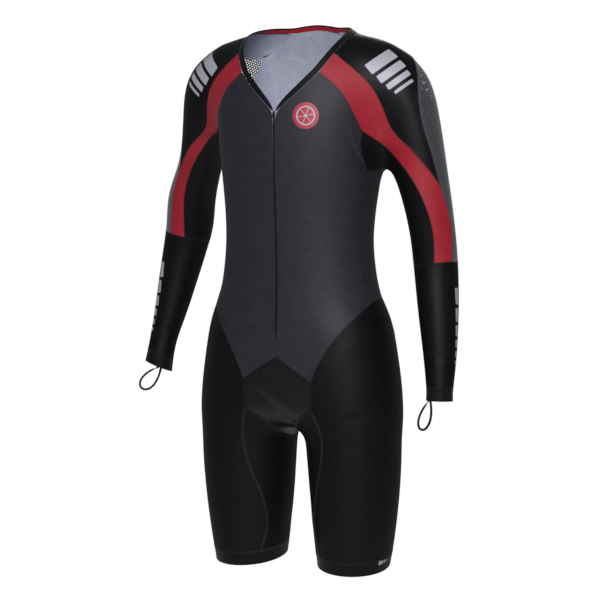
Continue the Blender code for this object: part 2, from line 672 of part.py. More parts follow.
# zip between the fronts, its slider closed at the top
rows = CENTRE_FRONT[CENTRE_FRONT[:, 2] > ZIP_END_Z - 0.01]
rows = np.concatenate([edge[:1] * 0.5 + NECK_FRONT[None] * 0.5, rows])
wide = np.array((ZIP_WIDTH / 2 - SEAM_GAP / 2, 0, 0))
grid = np.stack([rows + wide, rows - wide], axis=1)
solid("zip", project(grid), "binding", out=0.0009, inn=0.0009, edges={key: None for key in
      ("left", "right", "top", "bottom")})

# slider, closed at the top of the zip
place = np.array([project(np.array([(0, -0.109, z)]))[0] for z in (-0.1415, -0.1460, -0.1505)])
place[:, 0] = 0.0
wide = np.array((0.0028, 0, 0))
solid("zip_slider", project(np.stack([place + wide, place - wide], axis=1)), "binding", out=0.0030,
      inn=-0.0013, edges={key: None for key in ("left", "right", "top", "bottom")})


# flat tape over the insert's front seam, made from the points of the pieces under it
def tape_side(side):
    """Seam points from the insert's top downwards, and the panel points on both sides of them."""
    column = 0 if side > 0 else -1
    insert = GRIDS["insert"]
    top = insert[0, :4][::-1] if side > 0 else insert[0, 3:]
    within = insert[1, :4][::-1] if side > 0 else insert[1, 3:]
    edge = insert[1:4 + TAPE_UNDER, column]
    within_edge = insert[1:4 + TAPE_UNDER, 1 if side > 0 else -2]
    corner_in = insert[1, 1 if side > 0 else -2]
    beyond_top = GRIDS["front", side][-2, :4]
    beyond_leg = GRIDS["leg", side][1:4, 1]
    beyond_under = GRIDS["inner_leg", side][1, 1:1 + TAPE_UNDER]
    line = np.concatenate([top, edge])
    inner = np.concatenate([within[:3], corner_in[None], within_edge])
    outer = np.concatenate([beyond_top, beyond_leg, beyond_under])
    return line, inner, outer


parts = {side: tape_side(side) for side in (1, -1)}
line, inner, outer = [np.concatenate([parts[1][i][::-1], parts[-1][i][1:]]) for i in range(3)]


def towards(line, aim, width):
    run = np.gradient(line, axis=0)
    run /= np.linalg.norm(run, axis=1)[:, None]
    way = aim - line
    square = way - run * (way * run).sum(1)[:, None]
    reach = np.maximum(np.linalg.norm(square, axis=1), 0.7 * np.linalg.norm(way, axis=1))[:, None]
    return line + way * width / reach


tape = np.stack([towards(line, outer, INSERT_TAPE / 2), line, towards(line, inner, INSERT_TAPE / 2)])
solid("insert_tape", tape, "binding", out=WALL / 2 + 0.0012, inn=-(WALL / 2 + 0.0004),
      edges={key: None for key in ("left", "right", "top", "bottom")})


def thumb_loop(side):
    """The tape's middle line, its width direction at each point, and how far it has turned there, 0 to 1."""
    length, half_width, lean = LOOPS[side]
    turn = math.radians(VIEW_TURN)
    across = np.array((math.cos(turn), math.sin(turn), 0))
    outward = np.array((math.sin(turn), -math.cos(turn), 0))
    tip = math.radians(lean)
    down = np.array((0, 0, -1.0)) * math.cos(tip) - across * math.sin(tip)
    aside = across * math.cos(tip) - np.array((0, 0, 1.0)) * math.sin(tip)
    t = CUFF_AT[side] + CUFF_TILT[side][0] * math.cos(math.radians(LOOP_ANGLE - CUFF_TILT[side][1]))
    depth = WALL / 2 + SEAM_GAP + LOOP_TAPE[1] / 2 + 0.0009
    ends = []
    for turned in (-7.5, 7.5):
        rim, beyond, higher = [on_arm(t + d, LOOP_ANGLE + turned + a, side)
                               for d, a in ((0, 0), (0, 4), (-0.02, 0))]
        up = (higher - rim) / np.linalg.norm(higher - rim)
        flat = (beyond - rim) / np.linalg.norm(beyond - rim)
        inward = -normals(rim[None])[0]
        ends.append((rim + inward * depth, up, flat))
    if (ends[1][0] - ends[0][0]) @ across < 0:
        ends.reverse()
    flat = [end[2] * np.sign(end[2] @ across) for end in ends]
    points = [ends[0][0] + ends[0][1] * LOOP_INSIDE * share for share in (1, 0.5, 0)]
    widths = [flat[0]] * 3
    turns = [0.0] * 3
    steps = 24
    for k in range(1, steps):
        u = 2 * math.pi * k / steps
        run = length * (1 - math.cos(u)) / 2
        swing = -half_width * 1.3 * math.sin(u) * abs(math.sin(u / 2)) ** 0.9
        share = k / steps
        base = ends[0][0] * (1 - share) + ends[1][0] * share
        points.append(base + down * run + aside * swing)
        turned = min(1.0, min(u, 2 * math.pi - u) / 1.1)
        turned = turned * turned * (3 - 2 * turned)
        widths.append(flat[0 if share < 0.5 else 1] * (1 - turned) + outward * turned)
        turns.append(turned)
    points += [ends[1][0] + ends[1][1] * LOOP_INSIDE * share for share in (0, 0.5, 1)]
    widths += [flat[1]] * 3
    turns += [0.0] * 3
    return np.array(points), np.array(widths), np.array(turns)[:, None]


for side, word in ((1, "left"), (-1, "right")):
    points, widths, turns = thumb_loop(side)
    run = np.gradient(points, axis=0)
    run /= np.linalg.norm(run, axis=1)[:, None]
    widths -= run * (widths * run).sum(1)[:, None]
    widths /= np.linalg.norm(widths, axis=1)[:, None]
    tilt = turns * math.radians(LOOP_TILT)
    widths = widths * np.cos(tilt) + np.cross(run, widths) * np.sin(tilt)
    thick = np.cross(run, widths)
    half_wide, half_thick = LOOP_TAPE[0] / 2, LOOP_TAPE[1] / 2
    corners = [points + widths * half_wide * a + thick * half_thick * b
               for a, b in ((-1, -1), (1, -1), (1, 1), (-1, 1))]
    verts = np.stack(corners, axis=1).reshape(-1, 3)
    last = (len(points) - 1) * 4
    faces = [(3, 2, 1, 0), (last, last + 1, last + 2, last + 3)]
    for i in range(len(points) - 1):
        for k in range(4):
            a, b = i * 4 + k, i * 4 + (k + 1) % 4
            faces.append((a, b, b + 4, a + 4))
    mesh_object("thumb_loop_" + word, verts, faces, "binding")
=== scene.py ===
"""Looks of a cycling speed suit: smooth knit shells, net upper arms, sewing, zip, trims and plain prints."""
import heapq
import json
import math

import bmesh
import bpy
import numpy as np
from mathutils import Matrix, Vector
from mathutils.bvhtree import BVHTree
from mathutils.kdtree import KDTree


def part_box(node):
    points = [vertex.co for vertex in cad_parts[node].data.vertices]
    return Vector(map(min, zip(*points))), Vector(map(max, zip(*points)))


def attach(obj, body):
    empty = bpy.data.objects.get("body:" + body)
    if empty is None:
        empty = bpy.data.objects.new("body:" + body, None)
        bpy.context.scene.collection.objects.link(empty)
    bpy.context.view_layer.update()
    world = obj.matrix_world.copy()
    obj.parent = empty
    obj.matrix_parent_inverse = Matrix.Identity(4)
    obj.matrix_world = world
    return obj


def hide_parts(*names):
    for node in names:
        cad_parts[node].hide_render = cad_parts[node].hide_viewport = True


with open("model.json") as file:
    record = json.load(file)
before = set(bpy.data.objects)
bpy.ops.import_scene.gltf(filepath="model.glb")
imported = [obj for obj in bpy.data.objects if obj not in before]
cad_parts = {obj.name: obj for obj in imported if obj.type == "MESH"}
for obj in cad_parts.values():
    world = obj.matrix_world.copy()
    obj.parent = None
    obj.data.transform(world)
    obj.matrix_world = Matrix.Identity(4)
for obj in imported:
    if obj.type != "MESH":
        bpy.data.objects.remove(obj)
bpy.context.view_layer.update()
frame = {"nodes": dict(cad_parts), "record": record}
bpy.ops.object.select_all(action="DESELECT")

MM = 0.001

# camera, fitted to the photograph's frame
CAMERA_TURN = 25.0
CAMERA_RISE = 5.5
CAMERA_AWAY = 3.75
CAMERA_AIM_Z = -0.490
MM_PER_PIXEL = 1.87
FRAME_PIXELS = 600
SENSOR = 36.0

# cloth, in metres
JOIN = 0.01 * MM            # points of one mesh that lie closer than this are one point
CAD_WALL = 1.2 * MM
CLOTH = 1.0 * MM
WELD = 2.0 * MM             # neighbouring pieces meet within this at their seams
ARMPIT_X = 0.10             # the armpits' seams lie farther out than this, and higher than the next
ARMPIT_Z = -0.40
ARMPIT_REACH = 9.0 * MM     # from a loose edge point there to the edge across the seam
SPLIT_MARGIN = 0.05         # that edge is split at least this share of its length from its ends
FOLD_ANGLE = math.radians(60.0)    # faces that meet there more sharply than this are relaxed
RELAX_ROUNDS = 8
CREASE_FADE = 0.25          # a crease fades out this share of its length beyond each end
FILM = 0.12 * MM            # print film
FILM_LIFT = 0.15 * MM       # of a print's middle over the cloth
SECOND_LIFT = 0.30 * MM     # of a print that lies on another
PRINT_FROM = 0.08           # a print is laid on from this far off its place
PRINT_REACH = 0.3

# sewing
STITCH_STEP = 3.0 * MM
STITCH_LENGTH = 2.1 * MM
STITCH_WIDTH = 0.45 * MM
STITCH_HEIGHT = 0.28 * MM
STITCH_LIFT = 0.10 * MM
ROW_AWAY = 1.3 * MM         # each row of a flatlock seam from its middle

# net of the upper arms; its real cells are about 3 mm apart and are drawn coarser so that they show
NET_PITCH = 5.0 * MM
NET_HOLE = 0.52             # hole size over cell size
NET_WALL = 0.6 * MM
NET_SINK = 0.2 * MM         # of the net's face under the cloth's
NET_JOIN = 0.05 * MM

# zip
TOOTH_STEP = 1.5 * MM
TOOTH = (0.7 * MM, 1.5 * MM, 0.45 * MM)    # along the zip, across it and high
TOOTH_AWAY = 0.45 * MM      # from the zip's middle line, by turns to each side
TOOTH_SINK = 0.35 * MM
ZIP_X = 0.3 * MM            # the line is read just beside the middle edge of the zip's CAD strip
ZIP_STEP = 2.0 * MM
ZIP_TAPE = 4.0 * MM
ZIP_TAPE_HIGH = 0.35 * MM
ZIP_TAPE_SINK = 0.9 * MM
ZIP_HIDDEN = 11             # points of the tape below the last tooth

# slider: shares of the CAD slider's size
SLIDER_DEEP = 0.55
SLIDER_WAIST = 0.22
BRIDGE_OUT = 0.28
BRIDGE_RADIUS = 0.30
BRIDGE_WIRE = 0.5 * MM

# raised tapes, and the one over the insert's front seam
TAPE_STEP = 2.5 * MM
TAPE_UNDER = 0.2 * MM
INSERT_TAPE = 5.6 * MM
INSERT_TAPE_HIGH = 1.3 * MM
INSERT_TAPE_FROM_Y = -0.030

# creases: start, end, depth and half width in millimetres; a negative depth is a ridge
CREASES = [
    ((0.282, -0.024, -0.582), (0.295, -0.019, -0.581), 1.5, 4.0),
    ((0.273, -0.029, -0.640), (0.281, -0.029, -0.625), 1.4, 4.0),
    ((0.278, -0.031, -0.652), (0.299, -0.022, -0.636), 1.5, 4.0),
    ((0.302, -0.012, -0.652), (0.296, 0.010, -0.634), 1.0, 4.5),
    ((0.270, 0.008, -0.655), (0.262, -0.004, -0.630), 0.9, 4.0),
    ((-0.334, 0.084, -0.571), (-0.326, 0.090, -0.571), 0.9, 4.0),
    ((-0.362, 0.072, -0.640), (-0.346, 0.077, -0.618), 0.9, 4.5),
    ((-0.372, 0.108, -0.650), (-0.364, 0.122, -0.628), 0.9, 4.5),
    ((-0.333, 0.094, -0.640), (-0.331, 0.110, -0.622), 0.8, 4.0),
    ((0.133, -0.087, -0.694), (0.160, -0.073, -0.692), 0.9, 5.0),
    ((0.224, 0.000, -0.349), (0.226, 0.026, -0.356), 1.1, 6.0),
    ((0.225, 0.004, -0.372), (0.228, 0.030, -0.378), 0.9, 5.0),
    ((0.222, 0.006, -0.398), (0.231, 0.034, -0.392), 0.8, 5.0),
    ((-0.255, 0.105, -0.332), (-0.253, 0.132, -0.341), 1.0, 5.0),
    ((-0.262, 0.106, -0.356), (-0.262, 0.136, -0.362), 0.8, 5.0),
    ((0.133, -0.063, -0.208), (0.150, -0.027, -0.245), 1.0, 8.0),
    ((-0.133, -0.063, -0.212), (-0.150, -0.027, -0.244), 1.0, 8.0),
    ((0.140, 0.080, -0.190), (0.152, 0.050, -0.240), 1.2, 8.0),
    ((-0.140, 0.085, -0.190), (-0.150, 0.056, -0.240), 1.2, 8.0),
    ((0.006, -0.103, -0.592), (0.010, -0.103, -0.628), 1.2, 4.0),
    ((-0.003, -0.103, -0.594), (-0.004, -0.104, -0.618), 0.7, 3.5),
    ((-0.044, -0.101, -0.648), (0.030, -0.085, -0.712), 2.8, 5.5),
    ((-0.030, -0.104, -0.640), (0.036, -0.092, -0.690), -2.2, 8.0),
    ((-0.070, 0.092, -0.405), (0.010, 0.092, -0.418), 1.0, 9.0),
    ((-0.020, 0.092, -0.446), (0.086, 0.090, -0.436), 1.1, 10.0),
    ((0.060, 0.126, -0.700), (0.126, 0.112, -0.716), 1.6, 8.0),
    ((-0.060, 0.126, -0.702), (-0.128, 0.112, -0.714), 1.5, 8.0),
    ((0.074, 0.108, -0.730), (0.112, 0.102, -0.740), 0.9, 6.0),
    ((-0.310, 0.180, -0.360), (-0.330, 0.172, -0.372), 1.0, 6.0),
    ((0.262, 0.078, -0.400), (0.284, 0.066, -0.410), 1.0, 6.0),
]

# plain printed bars on the shoulder: place across the shoulder, width and length in millimetres
SHOULDER_BARS = [(-35.0, 22.0, 58.0), (-9.0, 16.0, 52.0), (11.0, 11.0, 45.0), (26.5, 6.0, 37.0)]
# plain printed dashes down the forearm: place along, length and height in millimetres
FOREARM_DASHES = [(0.0, 30.0, 15.0), (37.0, 25.0, 14.0), (68.0, 20.0, 13.0), (94.0, 15.0, 12.0),
                  (115.0, 11.0, 11.0), (132.0, 7.0, 10.0)]
# plain pale bars on the inside of the back: x, z, width and height in millimetres
INSIDE_BARS = [(-78.0, -50.0, 62.0, 18.0), (-86.0, -79.0, 44.0, 15.0), (-14.0, -48.0, 40.0, 17.0),
               (-8.0, -76.0, 24.0, 13.0)]
INSIDE_BARS_Y = 0.03
# plain dashes at the left leg hem: widths in millimetres, place of the first, step to the next, direction
HEM_DASHES = (9.0, 6.0, 4.0, 2.5)
HEM_PLACE = (0.1745, -0.0300, -0.9665)
HEM_STEP = (0.0035, 0.0050, 0.0006)
HEM_AIM = (-0.84, 0.55, 0.0)
# bars' place, direction into the body and turn in degrees
SHOULDER = {"left": ((0.196, -0.022, -0.075), (-0.75, 0.55, -0.42), 28.0),
            "right": ((-0.196, -0.026, -0.075), (0.75, 0.55, -0.42), -28.0)}
# dashes' first place, direction into the arm, direction down it and turn in degrees
FOREARM = {"left": ((0.303, 0.028, -0.458), (-0.97, -0.06, 0.0), (0.030, -0.155, -0.987), -6.0),
           "right": ((-0.3476, 0.1015, -0.437), (0.61, 0.79, 0.0), (-0.143, -0.110, -0.983), 5.0)}
# the chest badge, a plain wheel: its rings are inner and outer radius in millimetres, points round,
# finish and lift, and its spokes are length, width and corner in millimetres
BADGE_PLACE = (0.060, -0.105, -0.146)
BADGE_AIM = (-0.30, 0.95, 0.0)
BADGE_RINGS = {"disc": (0.0, 24.0, 48, "red_print", FILM_LIFT),
               "ring": (15.0, 17.5, 48, "pale_print", SECOND_LIFT),
               "hub": (0.0, 3.2, 24, "pale_print", SECOND_LIFT)}
SPOKES = 6
SPOKE = (11.2, 1.2, 0.3)
SPOKE_AWAY = 9.2 * MM
SPOKE_TURN = 10

# floor and soft studio lights: name, place, size in metres, power in watts
FLOOR_Z = -1.60
FLOOR_RADIUS = 1.9
LIGHTS = [
    ("key_light", (1.3, -3.5, 1.3), 2.2, 125.0),
    ("fill_light", (2.4, -2.6, -0.4), 1.6, 4.0),
    ("back_light", (-1.2, 3.6, 0.8), 1.8, 30.0),
]
LIGHT_AIM = (0, 0, -0.45)
WORLD_LIGHT = 0.15

# which finish each cloth piece takes outside and inside
FINISHES = {
    "front": ("charcoal_knit", "pale_inside"), "back": ("charcoal_knit", "pale_inside"),
    "sleeve_top": ("thigh_knit", "pale_inside"), "red_band": ("red_knit", "pale_inside"),
    "sleeve_front": ("black_knit", "black_knit"), "sleeve_back": ("black_knit", "black_knit"),
    "forearm": ("black_knit", "black_knit"), "leg": ("thigh_knit", "thigh_knit"),
    "inner_leg": ("black_knit", "black_knit"), "mesh": ("black_net", "pale_inside"),
    "cuff_hem": ("black_elastic", "black_elastic"), "leg_hem": ("black_elastic", "black_elastic"),
    "crotch_insert": ("insert_knit", "insert_knit"),
}
SLOTS = {part["node"]: part["material_slot"] for part in frame["record"]["subparts"]}
TUBES = ("forearm", "cuff_hem", "leg_hem")
TRIMS = ("neck_binding", "neck_tape", "zip", "zip_slider", "insert_tape", "thumb_loop_left",
         "thumb_loop_right")
HOLLOWS = np.array([opening["box_m"] for opening in frame["record"]["physics"]["openings"]])
WAVE_PERIOD = 2 * math.pi / 20     # of Blender's wave texture at scale 1


# materials
def linear(code):
    """A linear colour from an sRGB hex code."""
    parts = [int(code[i:i + 2], 16) / 255 for i in (1, 3, 5)]
    return tuple(c / 12.92 if c <= 0.04045 else ((c + 0.055) / 1.055) ** 2.4 for c in parts) + (1.0,)


def add(tree, kind, settings=None, links=None):
    """Adds a shader node, sets its properties and sockets, and links its inputs."""
    node = tree.nodes.new(kind)
    for key, value in (settings or {}).items():
        if isinstance(key, str) and hasattr(node, key):
            setattr(node, key, value)
        else:
            node.inputs[key].default_value = value
    for key, source in (links or {}).items():
        tree.links.new(source, node.inputs[key])
    return node


def new_material(name, roughness, **sockets):
    material = bpy.data.materials.new(name)
    material.use_nodes = True
    tree = material.node_tree
    shader = tree.nodes["Principled BSDF"]
    shader.inputs["Roughness"].default_value = roughness
    for socket, value in sockets.items():
        shader.inputs[socket.replace("_", " ")].default_value = value
    return material, tree, shader


def tones(tree, source, low, high, from_min=0.3, from_max=0.7):
    """A colour between two tones, by a value."""
    spread = add(tree, "ShaderNodeMapRange", {"From Min": from_min, "From Max": from_max}, {"Value": source})
    mix = add(tree, "ShaderNodeMix", {"data_type": "RGBA"}, {0: spread.outputs[0]})
    mix.inputs[6].default_value = linear(low)
    mix.inputs[7].default_value = linear(high)
    return mix.outputs[2]


def bump(tree, shader, source, strength, height):
    node = add(tree, "ShaderNodeBump", {"Strength": strength, "Distance": height}, {"Height": source})
    tree.links.new(node.outputs[0], shader.inputs["Normal"])


def ribs(tree, coords, direction, pitch, wobble=0.0):
    """Fine parallel ribs, pitch metres apart."""
    settings = {"wave_type": "BANDS", "bands_direction": direction, "Scale": WAVE_PERIOD / pitch,
                "Distortion": wobble, "Detail": 0.0}
    return add(tree, "ShaderNodeTexWave", settings, {"Vector": coords}).outputs["Fac"]


def knit(name, dark, light, roughness, sheen, specular, mottle=18.0):
    """Polyester and elastane warp knit: smooth, with fine upright wales and a faint cloudiness, mottle
    millimetres wide. The real wales are 0.4 mm apart; they are drawn coarser so that they show."""
    material, tree, shader = new_material(name, roughness, Sheen_Weight=sheen, Sheen_Roughness=0.4,
                                          Specular_IOR_Level=specular)
    flat = add(tree, "ShaderNodeUVMap", {"uv_map": "flat"}).outputs[0]
    place = add(tree, "ShaderNodeTexCoord").outputs["Object"]
    cloud = add(tree, "ShaderNodeTexNoise", {"Scale": 1 / (mottle * MM), "Detail": 4.0, "Roughness": 0.65},
                {"Vector": place}).outputs["Fac"]
    loops = add(tree, "ShaderNodeTexNoise", {"Scale": 1 / (1.4 * MM), "Detail": 2.0}, {"Vector": place})
    both = add(tree, "ShaderNodeMath", {"operation": "MULTIPLY_ADD", 1: 0.35}, {0: loops.outputs["Fac"]})
    shade = add(tree, "ShaderNodeMath", {"operation": "MULTIPLY", 1: 0.65}, {0: cloud})
    tree.links.new(shade.outputs[0], both.inputs[2])
    tree.links.new(tones(tree, both.outputs[0], dark, light, 0.35, 0.65), shader.inputs["Base Color"])
    wales = ribs(tree, flat, "X", 1.1 * MM, 0.4)
    courses = ribs(tree, flat, "Y", 0.9 * MM, 0.6)
    weave = add(tree, "ShaderNodeMath", {"operation": "MULTIPLY"}, {0: wales, 1: courses})
    rough = add(tree, "ShaderNodeMapRange", {"To Min": roughness - 0.06, "To Max": roughness + 0.06},
                {"Value": cloud})
    tree.links.new(rough.outputs[0], shader.inputs["Roughness"])
    bump(tree, shader, weave.outputs[0], 0.35, 0.12 * MM)
    return material


def pale_knit():
    """The unprinted inside of the printed knit: white yarn that shows the print's dark side through as a
    cool grey, in clouds about 26 mm wide."""
    material, tree, shader = new_material("pale_inside", 0.8, Sheen_Weight=0.25)
    place = add(tree, "ShaderNodeTexCoord").outputs["Object"]
    cloud = add(tree, "ShaderNodeTexNoise", {"Scale": 38.0, "Detail": 5.0, "Roughness": 0.7},
                {"Vector": place})
    tree.links.new(tones(tree, cloud.outputs["Fac"], "#A6ACC2", "#C2C6D9"), shader.inputs["Base Color"])
    flat = add(tree, "ShaderNodeUVMap", {"uv_map": "flat"}).outputs[0]
    bump(tree, shader, ribs(tree, flat, "X", 1.0 * MM, 0.5), 0.3, 0.12 * MM)
    return material


def net_yarn():
    """Textured polyester yarn of the knitted net: dull, with the yarn's twist."""
    material, tree, shader = new_material("black_net", 0.55, Sheen_Weight=0.35, Sheen_Roughness=0.5)
    place = add(tree, "ShaderNodeTexCoord").outputs["Object"]
    twist = add(tree, "ShaderNodeTexNoise", {"Scale": 1 / (0.9 * MM), "Detail": 2.0}, {"Vector": place})
    tree.links.new(tones(tree, twist.outputs["Fac"], "#2E2E34", "#565660"), shader.inputs["Base Color"])
    bump(tree, shader, twist.outputs["Fac"], 0.5, 0.2 * MM)
    return material


def woven_elastic(name, dark, light, pitch, roughness=0.62, direction="Z"):
    """Woven elastic: crosswise ribs from the covered rubber threads."""
    material, tree, shader = new_material(name, roughness, Sheen_Weight=0.1, Specular_IOR_Level=0.16)
    place = add(tree, "ShaderNodeTexCoord").outputs["Object"]
    rib = ribs(tree, place, direction, pitch, 0.8)
    tree.links.new(tones(tree, rib, dark, light, 0.0, 1.0), shader.inputs["Base Color"])
    bump(tree, shader, rib, 0.45, 0.25 * MM)
    return material


def spun_thread(name, dark, light):
    """Textured polyester sewing thread: soft sheen and a visible twist."""
    material, tree, shader = new_material(name, 0.55, Sheen_Weight=0.2)
    place = add(tree, "ShaderNodeTexCoord").outputs["Object"]
    twist = add(tree, "ShaderNodeTexNoise", {"Scale": 1 / (0.7 * MM), "Detail": 1.0}, {"Vector": place})
    tree.links.new(tones(tree, twist.outputs["Fac"], dark, light), shader.inputs["Base Color"])
    bump(tree, shader, twist.outputs["Fac"], 0.4, 0.1 * MM)
    return material


def transfer_film(name, dark, light, roughness=0.42):
    """Heat-transfer print film: a thin smooth skin that takes on the knit's grain below it."""
    material, tree, shader = new_material(name, roughness, Specular_IOR_Level=0.5)
    place = add(tree, "ShaderNodeTexCoord").outputs["Object"]
    grain = add(tree, "ShaderNodeTexNoise", {"Scale": 1 / (1.6 * MM), "Detail": 3.0}, {"Vector": place})
    tree.links.new(tones(tree, grain.outputs["Fac"], dark, light), shader.inputs["Base Color"])
    bump(tree, shader, grain.outputs["Fac"], 0.25, 0.1 * MM)
    return material


def nylon(name, dark, light, roughness):
    """Extruded nylon of the zip's coil: smooth, slightly glossy, with scuffs about 2 mm wide."""
    material, tree, shader = new_material(name, roughness, Specular_IOR_Level=0.5)
    place = add(tree, "ShaderNodeTexCoord").outputs["Object"]
    scuff = add(tree, "ShaderNodeTexNoise", {"Scale": 420.0, "Detail": 3.0}, {"Vector": place})
    tree.links.new(tones(tree, scuff.outputs["Fac"], dark, light), shader.inputs["Base Color"])
    rough = add(tree, "ShaderNodeMapRange", {"To Min": roughness - 0.08, "To Max": roughness + 0.1},
                {"Value": scuff.outputs["Fac"]})
    tree.links.new(rough.outputs[0], shader.inputs["Roughness"])
    return material


MATERIALS = {
    "charcoal_knit": knit("charcoal_knit", "#222229", "#2B2B34", 0.52, 0.03, 0.30),
    "black_knit": knit("black_knit", "#08080A", "#0D0D0F", 0.50, 0.01, 0.17),
    "thigh_knit": knit("thigh_knit", "#0A0A0C", "#0E0E12", 0.46, 0.01, 0.18),
    "red_knit": knit("red_knit", "#99182A", "#A9202F", 0.55, 0.08, 0.35),
    "insert_knit": knit("insert_knit", "#0C0B0D", "#131215", 0.34, 0.01, 0.45, 12.0),
    "pale_inside": pale_knit(),
    "black_net": net_yarn(),
    "black_elastic": woven_elastic("black_elastic", "#050506", "#080809", 2.0 * MM),
    "binding_elastic": woven_elastic("binding_elastic", "#060608", "#0C0C0F", 1.4 * MM, 0.5),
    "loop_elastic": woven_elastic("loop_elastic", "#0B0B0D", "#17171A", 1.2 * MM, 0.6),
    "red_tape": woven_elastic("red_tape", "#8E1524", "#B02434", 1.2 * MM, 0.6, "X"),
    "black_thread": spun_thread("black_thread", "#0C0C0E", "#1E1E22"),
    "grey_thread": spun_thread("grey_thread", "#3C3C46", "#55555F"),
    "pale_print": transfer_film("pale_print", "#ACABB8", "#BAB8C4"),
    "red_print": transfer_film("red_print", "#A51F30", "#B02A3A"),
    "inside_print": transfer_film("inside_print", "#AFB2C2", "#BDBFCC", 0.75),
    "zip_tape": woven_elastic("zip_tape", "#08080A", "#101013", 1.0 * MM, 0.7),
    "zip_coil": nylon("zip_coil", "#0B0B0D", "#1B1B1F", 0.38),
    "slider_enamel": nylon("slider_enamel", "#101012", "#232327", 0.30),
}


# camera
def camera():
    turn, rise = math.radians(CAMERA_TURN), math.radians(CAMERA_RISE)
    back = Vector((math.sin(turn) * math.cos(rise), -math.cos(turn) * math.cos(rise), math.sin(rise)))
    data = bpy.data.cameras.new("camera")
    width_at_aim = MM_PER_PIXEL * MM * FRAME_PIXELS
    data.sensor_width = SENSOR
    data.lens = SENSOR * CAMERA_AWAY / width_at_aim
    data.clip_end = 100
    ob = bpy.data.objects.new("camera", data)
    bpy.context.scene.collection.objects.link(ob)
    ob.location = Vector((0, 0, CAMERA_AIM_Z)) + back * CAMERA_AWAY
    ob.rotation_euler = back.to_track_quat("Z", "Y").to_euler()
    bpy.context.scene.camera = ob
    bpy.context.scene.view_settings.view_transform = "Standard"


# helpers for meshes
def select_only(ob):
    bpy.ops.object.select_all(action="DESELECT")
    ob.select_set(True)
    bpy.context.view_layer.objects.active = ob


def edit(ob, operator, **settings):
    """Runs an edit-mode operator on the whole of an object's mesh."""
    select_only(ob)
    bpy.ops.object.mode_set(mode="EDIT")
    bpy.ops.mesh.select_all(action="SELECT")
    operator(**settings)
    bpy.ops.object.mode_set(mode="OBJECT")


def new_object(name, verts, faces):
    mesh = bpy.data.meshes.new(name)
    mesh.from_pydata([tuple(v) for v in verts], [], [tuple(f) for f in faces])
    ob = bpy.data.objects.new(name, mesh)
    bpy.context.scene.collection.objects.link(ob)
    return ob


def merged_copy(node, name):
    """A copy of a CAD node's mesh with its loose triangles joined and paired into four-sided faces."""
    ob = bpy.data.objects.new(name, frame["nodes"][node].data.copy())
    ob.data.materials.clear()
    bpy.context.scene.collection.objects.link(ob)
    edit(ob, bpy.ops.mesh.remove_doubles, threshold=JOIN)
    edit(ob, bpy.ops.mesh.tris_convert_to_quads, face_threshold=math.radians(40),
         shape_threshold=math.radians(60))
    return ob


def apply(ob, kind, **settings):
    """Adds a modifier with these settings and applies it."""
    select_only(ob)
    modifier = ob.modifiers.new("finish", kind)
    for key, value in settings.items():
        setattr(modifier, key, value)
    bpy.ops.object.modifier_apply(modifier=modifier.name)


def smooth(ob, angle=40.0):
    select_only(ob)
    bpy.ops.object.shade_smooth_by_angle(angle=math.radians(angle))


def settle(ob, finish, nodes=()):
    """Gives a piece its finish and slot, and lets it ride and stand for its CAD nodes."""
    if finish:
        ob.data.materials.clear()
        ob.data.materials.append(MATERIALS[finish])
    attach(ob, "root")
    if nodes:
        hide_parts(*nodes)


def coords(mesh):
    values = np.zeros(len(mesh.vertices) * 3)
    mesh.vertices.foreach_get("co", values)
    return values.reshape(-1, 3)


# thumb loops
def thumb_loop(side):
    name = "thumb_loop_" + side
    loop = merged_copy(name, "loop_" + side)
    apply(loop, "BEVEL", width=0.3 * MM, segments=2, limit_method="ANGLE", angle_limit=math.radians(50))
    smooth(loop, 60.0)
    settle(loop, "loop_elastic", [name])


# the skin: the outer faces of all cloth pieces, welded along their seams and smoothed as one
def outer_faces(node, index):
    """A wall's outer sheet. Each point has a partner straight across the wall; the pairs are turned to agree
    with their neighbours and, as a whole, to look away from the hollows."""
    bm = bmesh.new()
    bm.from_mesh(frame["nodes"][node].data)
    bmesh.ops.remove_doubles(bm, verts=bm.verts, dist=JOIN)
    bm.verts.ensure_lookup_table()
    bm.verts.index_update()
    count = len(bm.verts)
    tree = KDTree(count)
    for vert in bm.verts:
        tree.insert(vert.co, vert.index)
    tree.balance()
    partner = []
    for vert in bm.verts:
        normal = sum((face.normal * face.calc_area() for face in vert.link_faces), Vector()).normalized()
        across = tree.find_n(vert.co - normal * CAD_WALL, 2)
        near = [place for _, place, _ in across if place != vert.index]
        partner.append(near[0])
    way = [(bm.verts[i].co - bm.verts[partner[i]].co).normalized() for i in range(count)]
    turn = [0] * count
    for seed in range(count):
        if turn[seed]:
            continue
        group = []
        waiting = [(0.0, seed, 1)]
        while waiting:
            _, i, sign = heapq.heappop(waiting)
            if turn[i]:
                continue
            turn[i] = sign
            group.append(i)
            for j in {edge.other_vert(bm.verts[i]).index for edge in bm.verts[i].link_edges} | {partner[i]}:
                agree = way[j].dot(way[i])
                heapq.heappush(waiting, (1 - abs(agree), j, sign if agree > 0 else -sign))
        vote = 0.0
        for i in group:
            centre = np.array(bm.verts[i].co)
            inside = np.clip(centre, HOLLOWS[:, 0], HOLLOWS[:, 1])
            nearest = inside[((inside - centre) ** 2).sum(axis=1).argmin()]
            vote += turn[i] * way[i].dot(Vector(centre - nearest))
        if vote < 0:
            for i in group:
                turn[i] = -turn[i]
    inner = [face for face in bm.faces if any(turn[vert.index] < 0 for vert in face.verts)]
    bmesh.ops.delete(bm, geom=inner, context="FACES")
    for face in bm.faces:
        face.material_index = index
    mesh = bpy.data.meshes.new("outer")
    bm.to_mesh(mesh)
    bm.free()
    return mesh


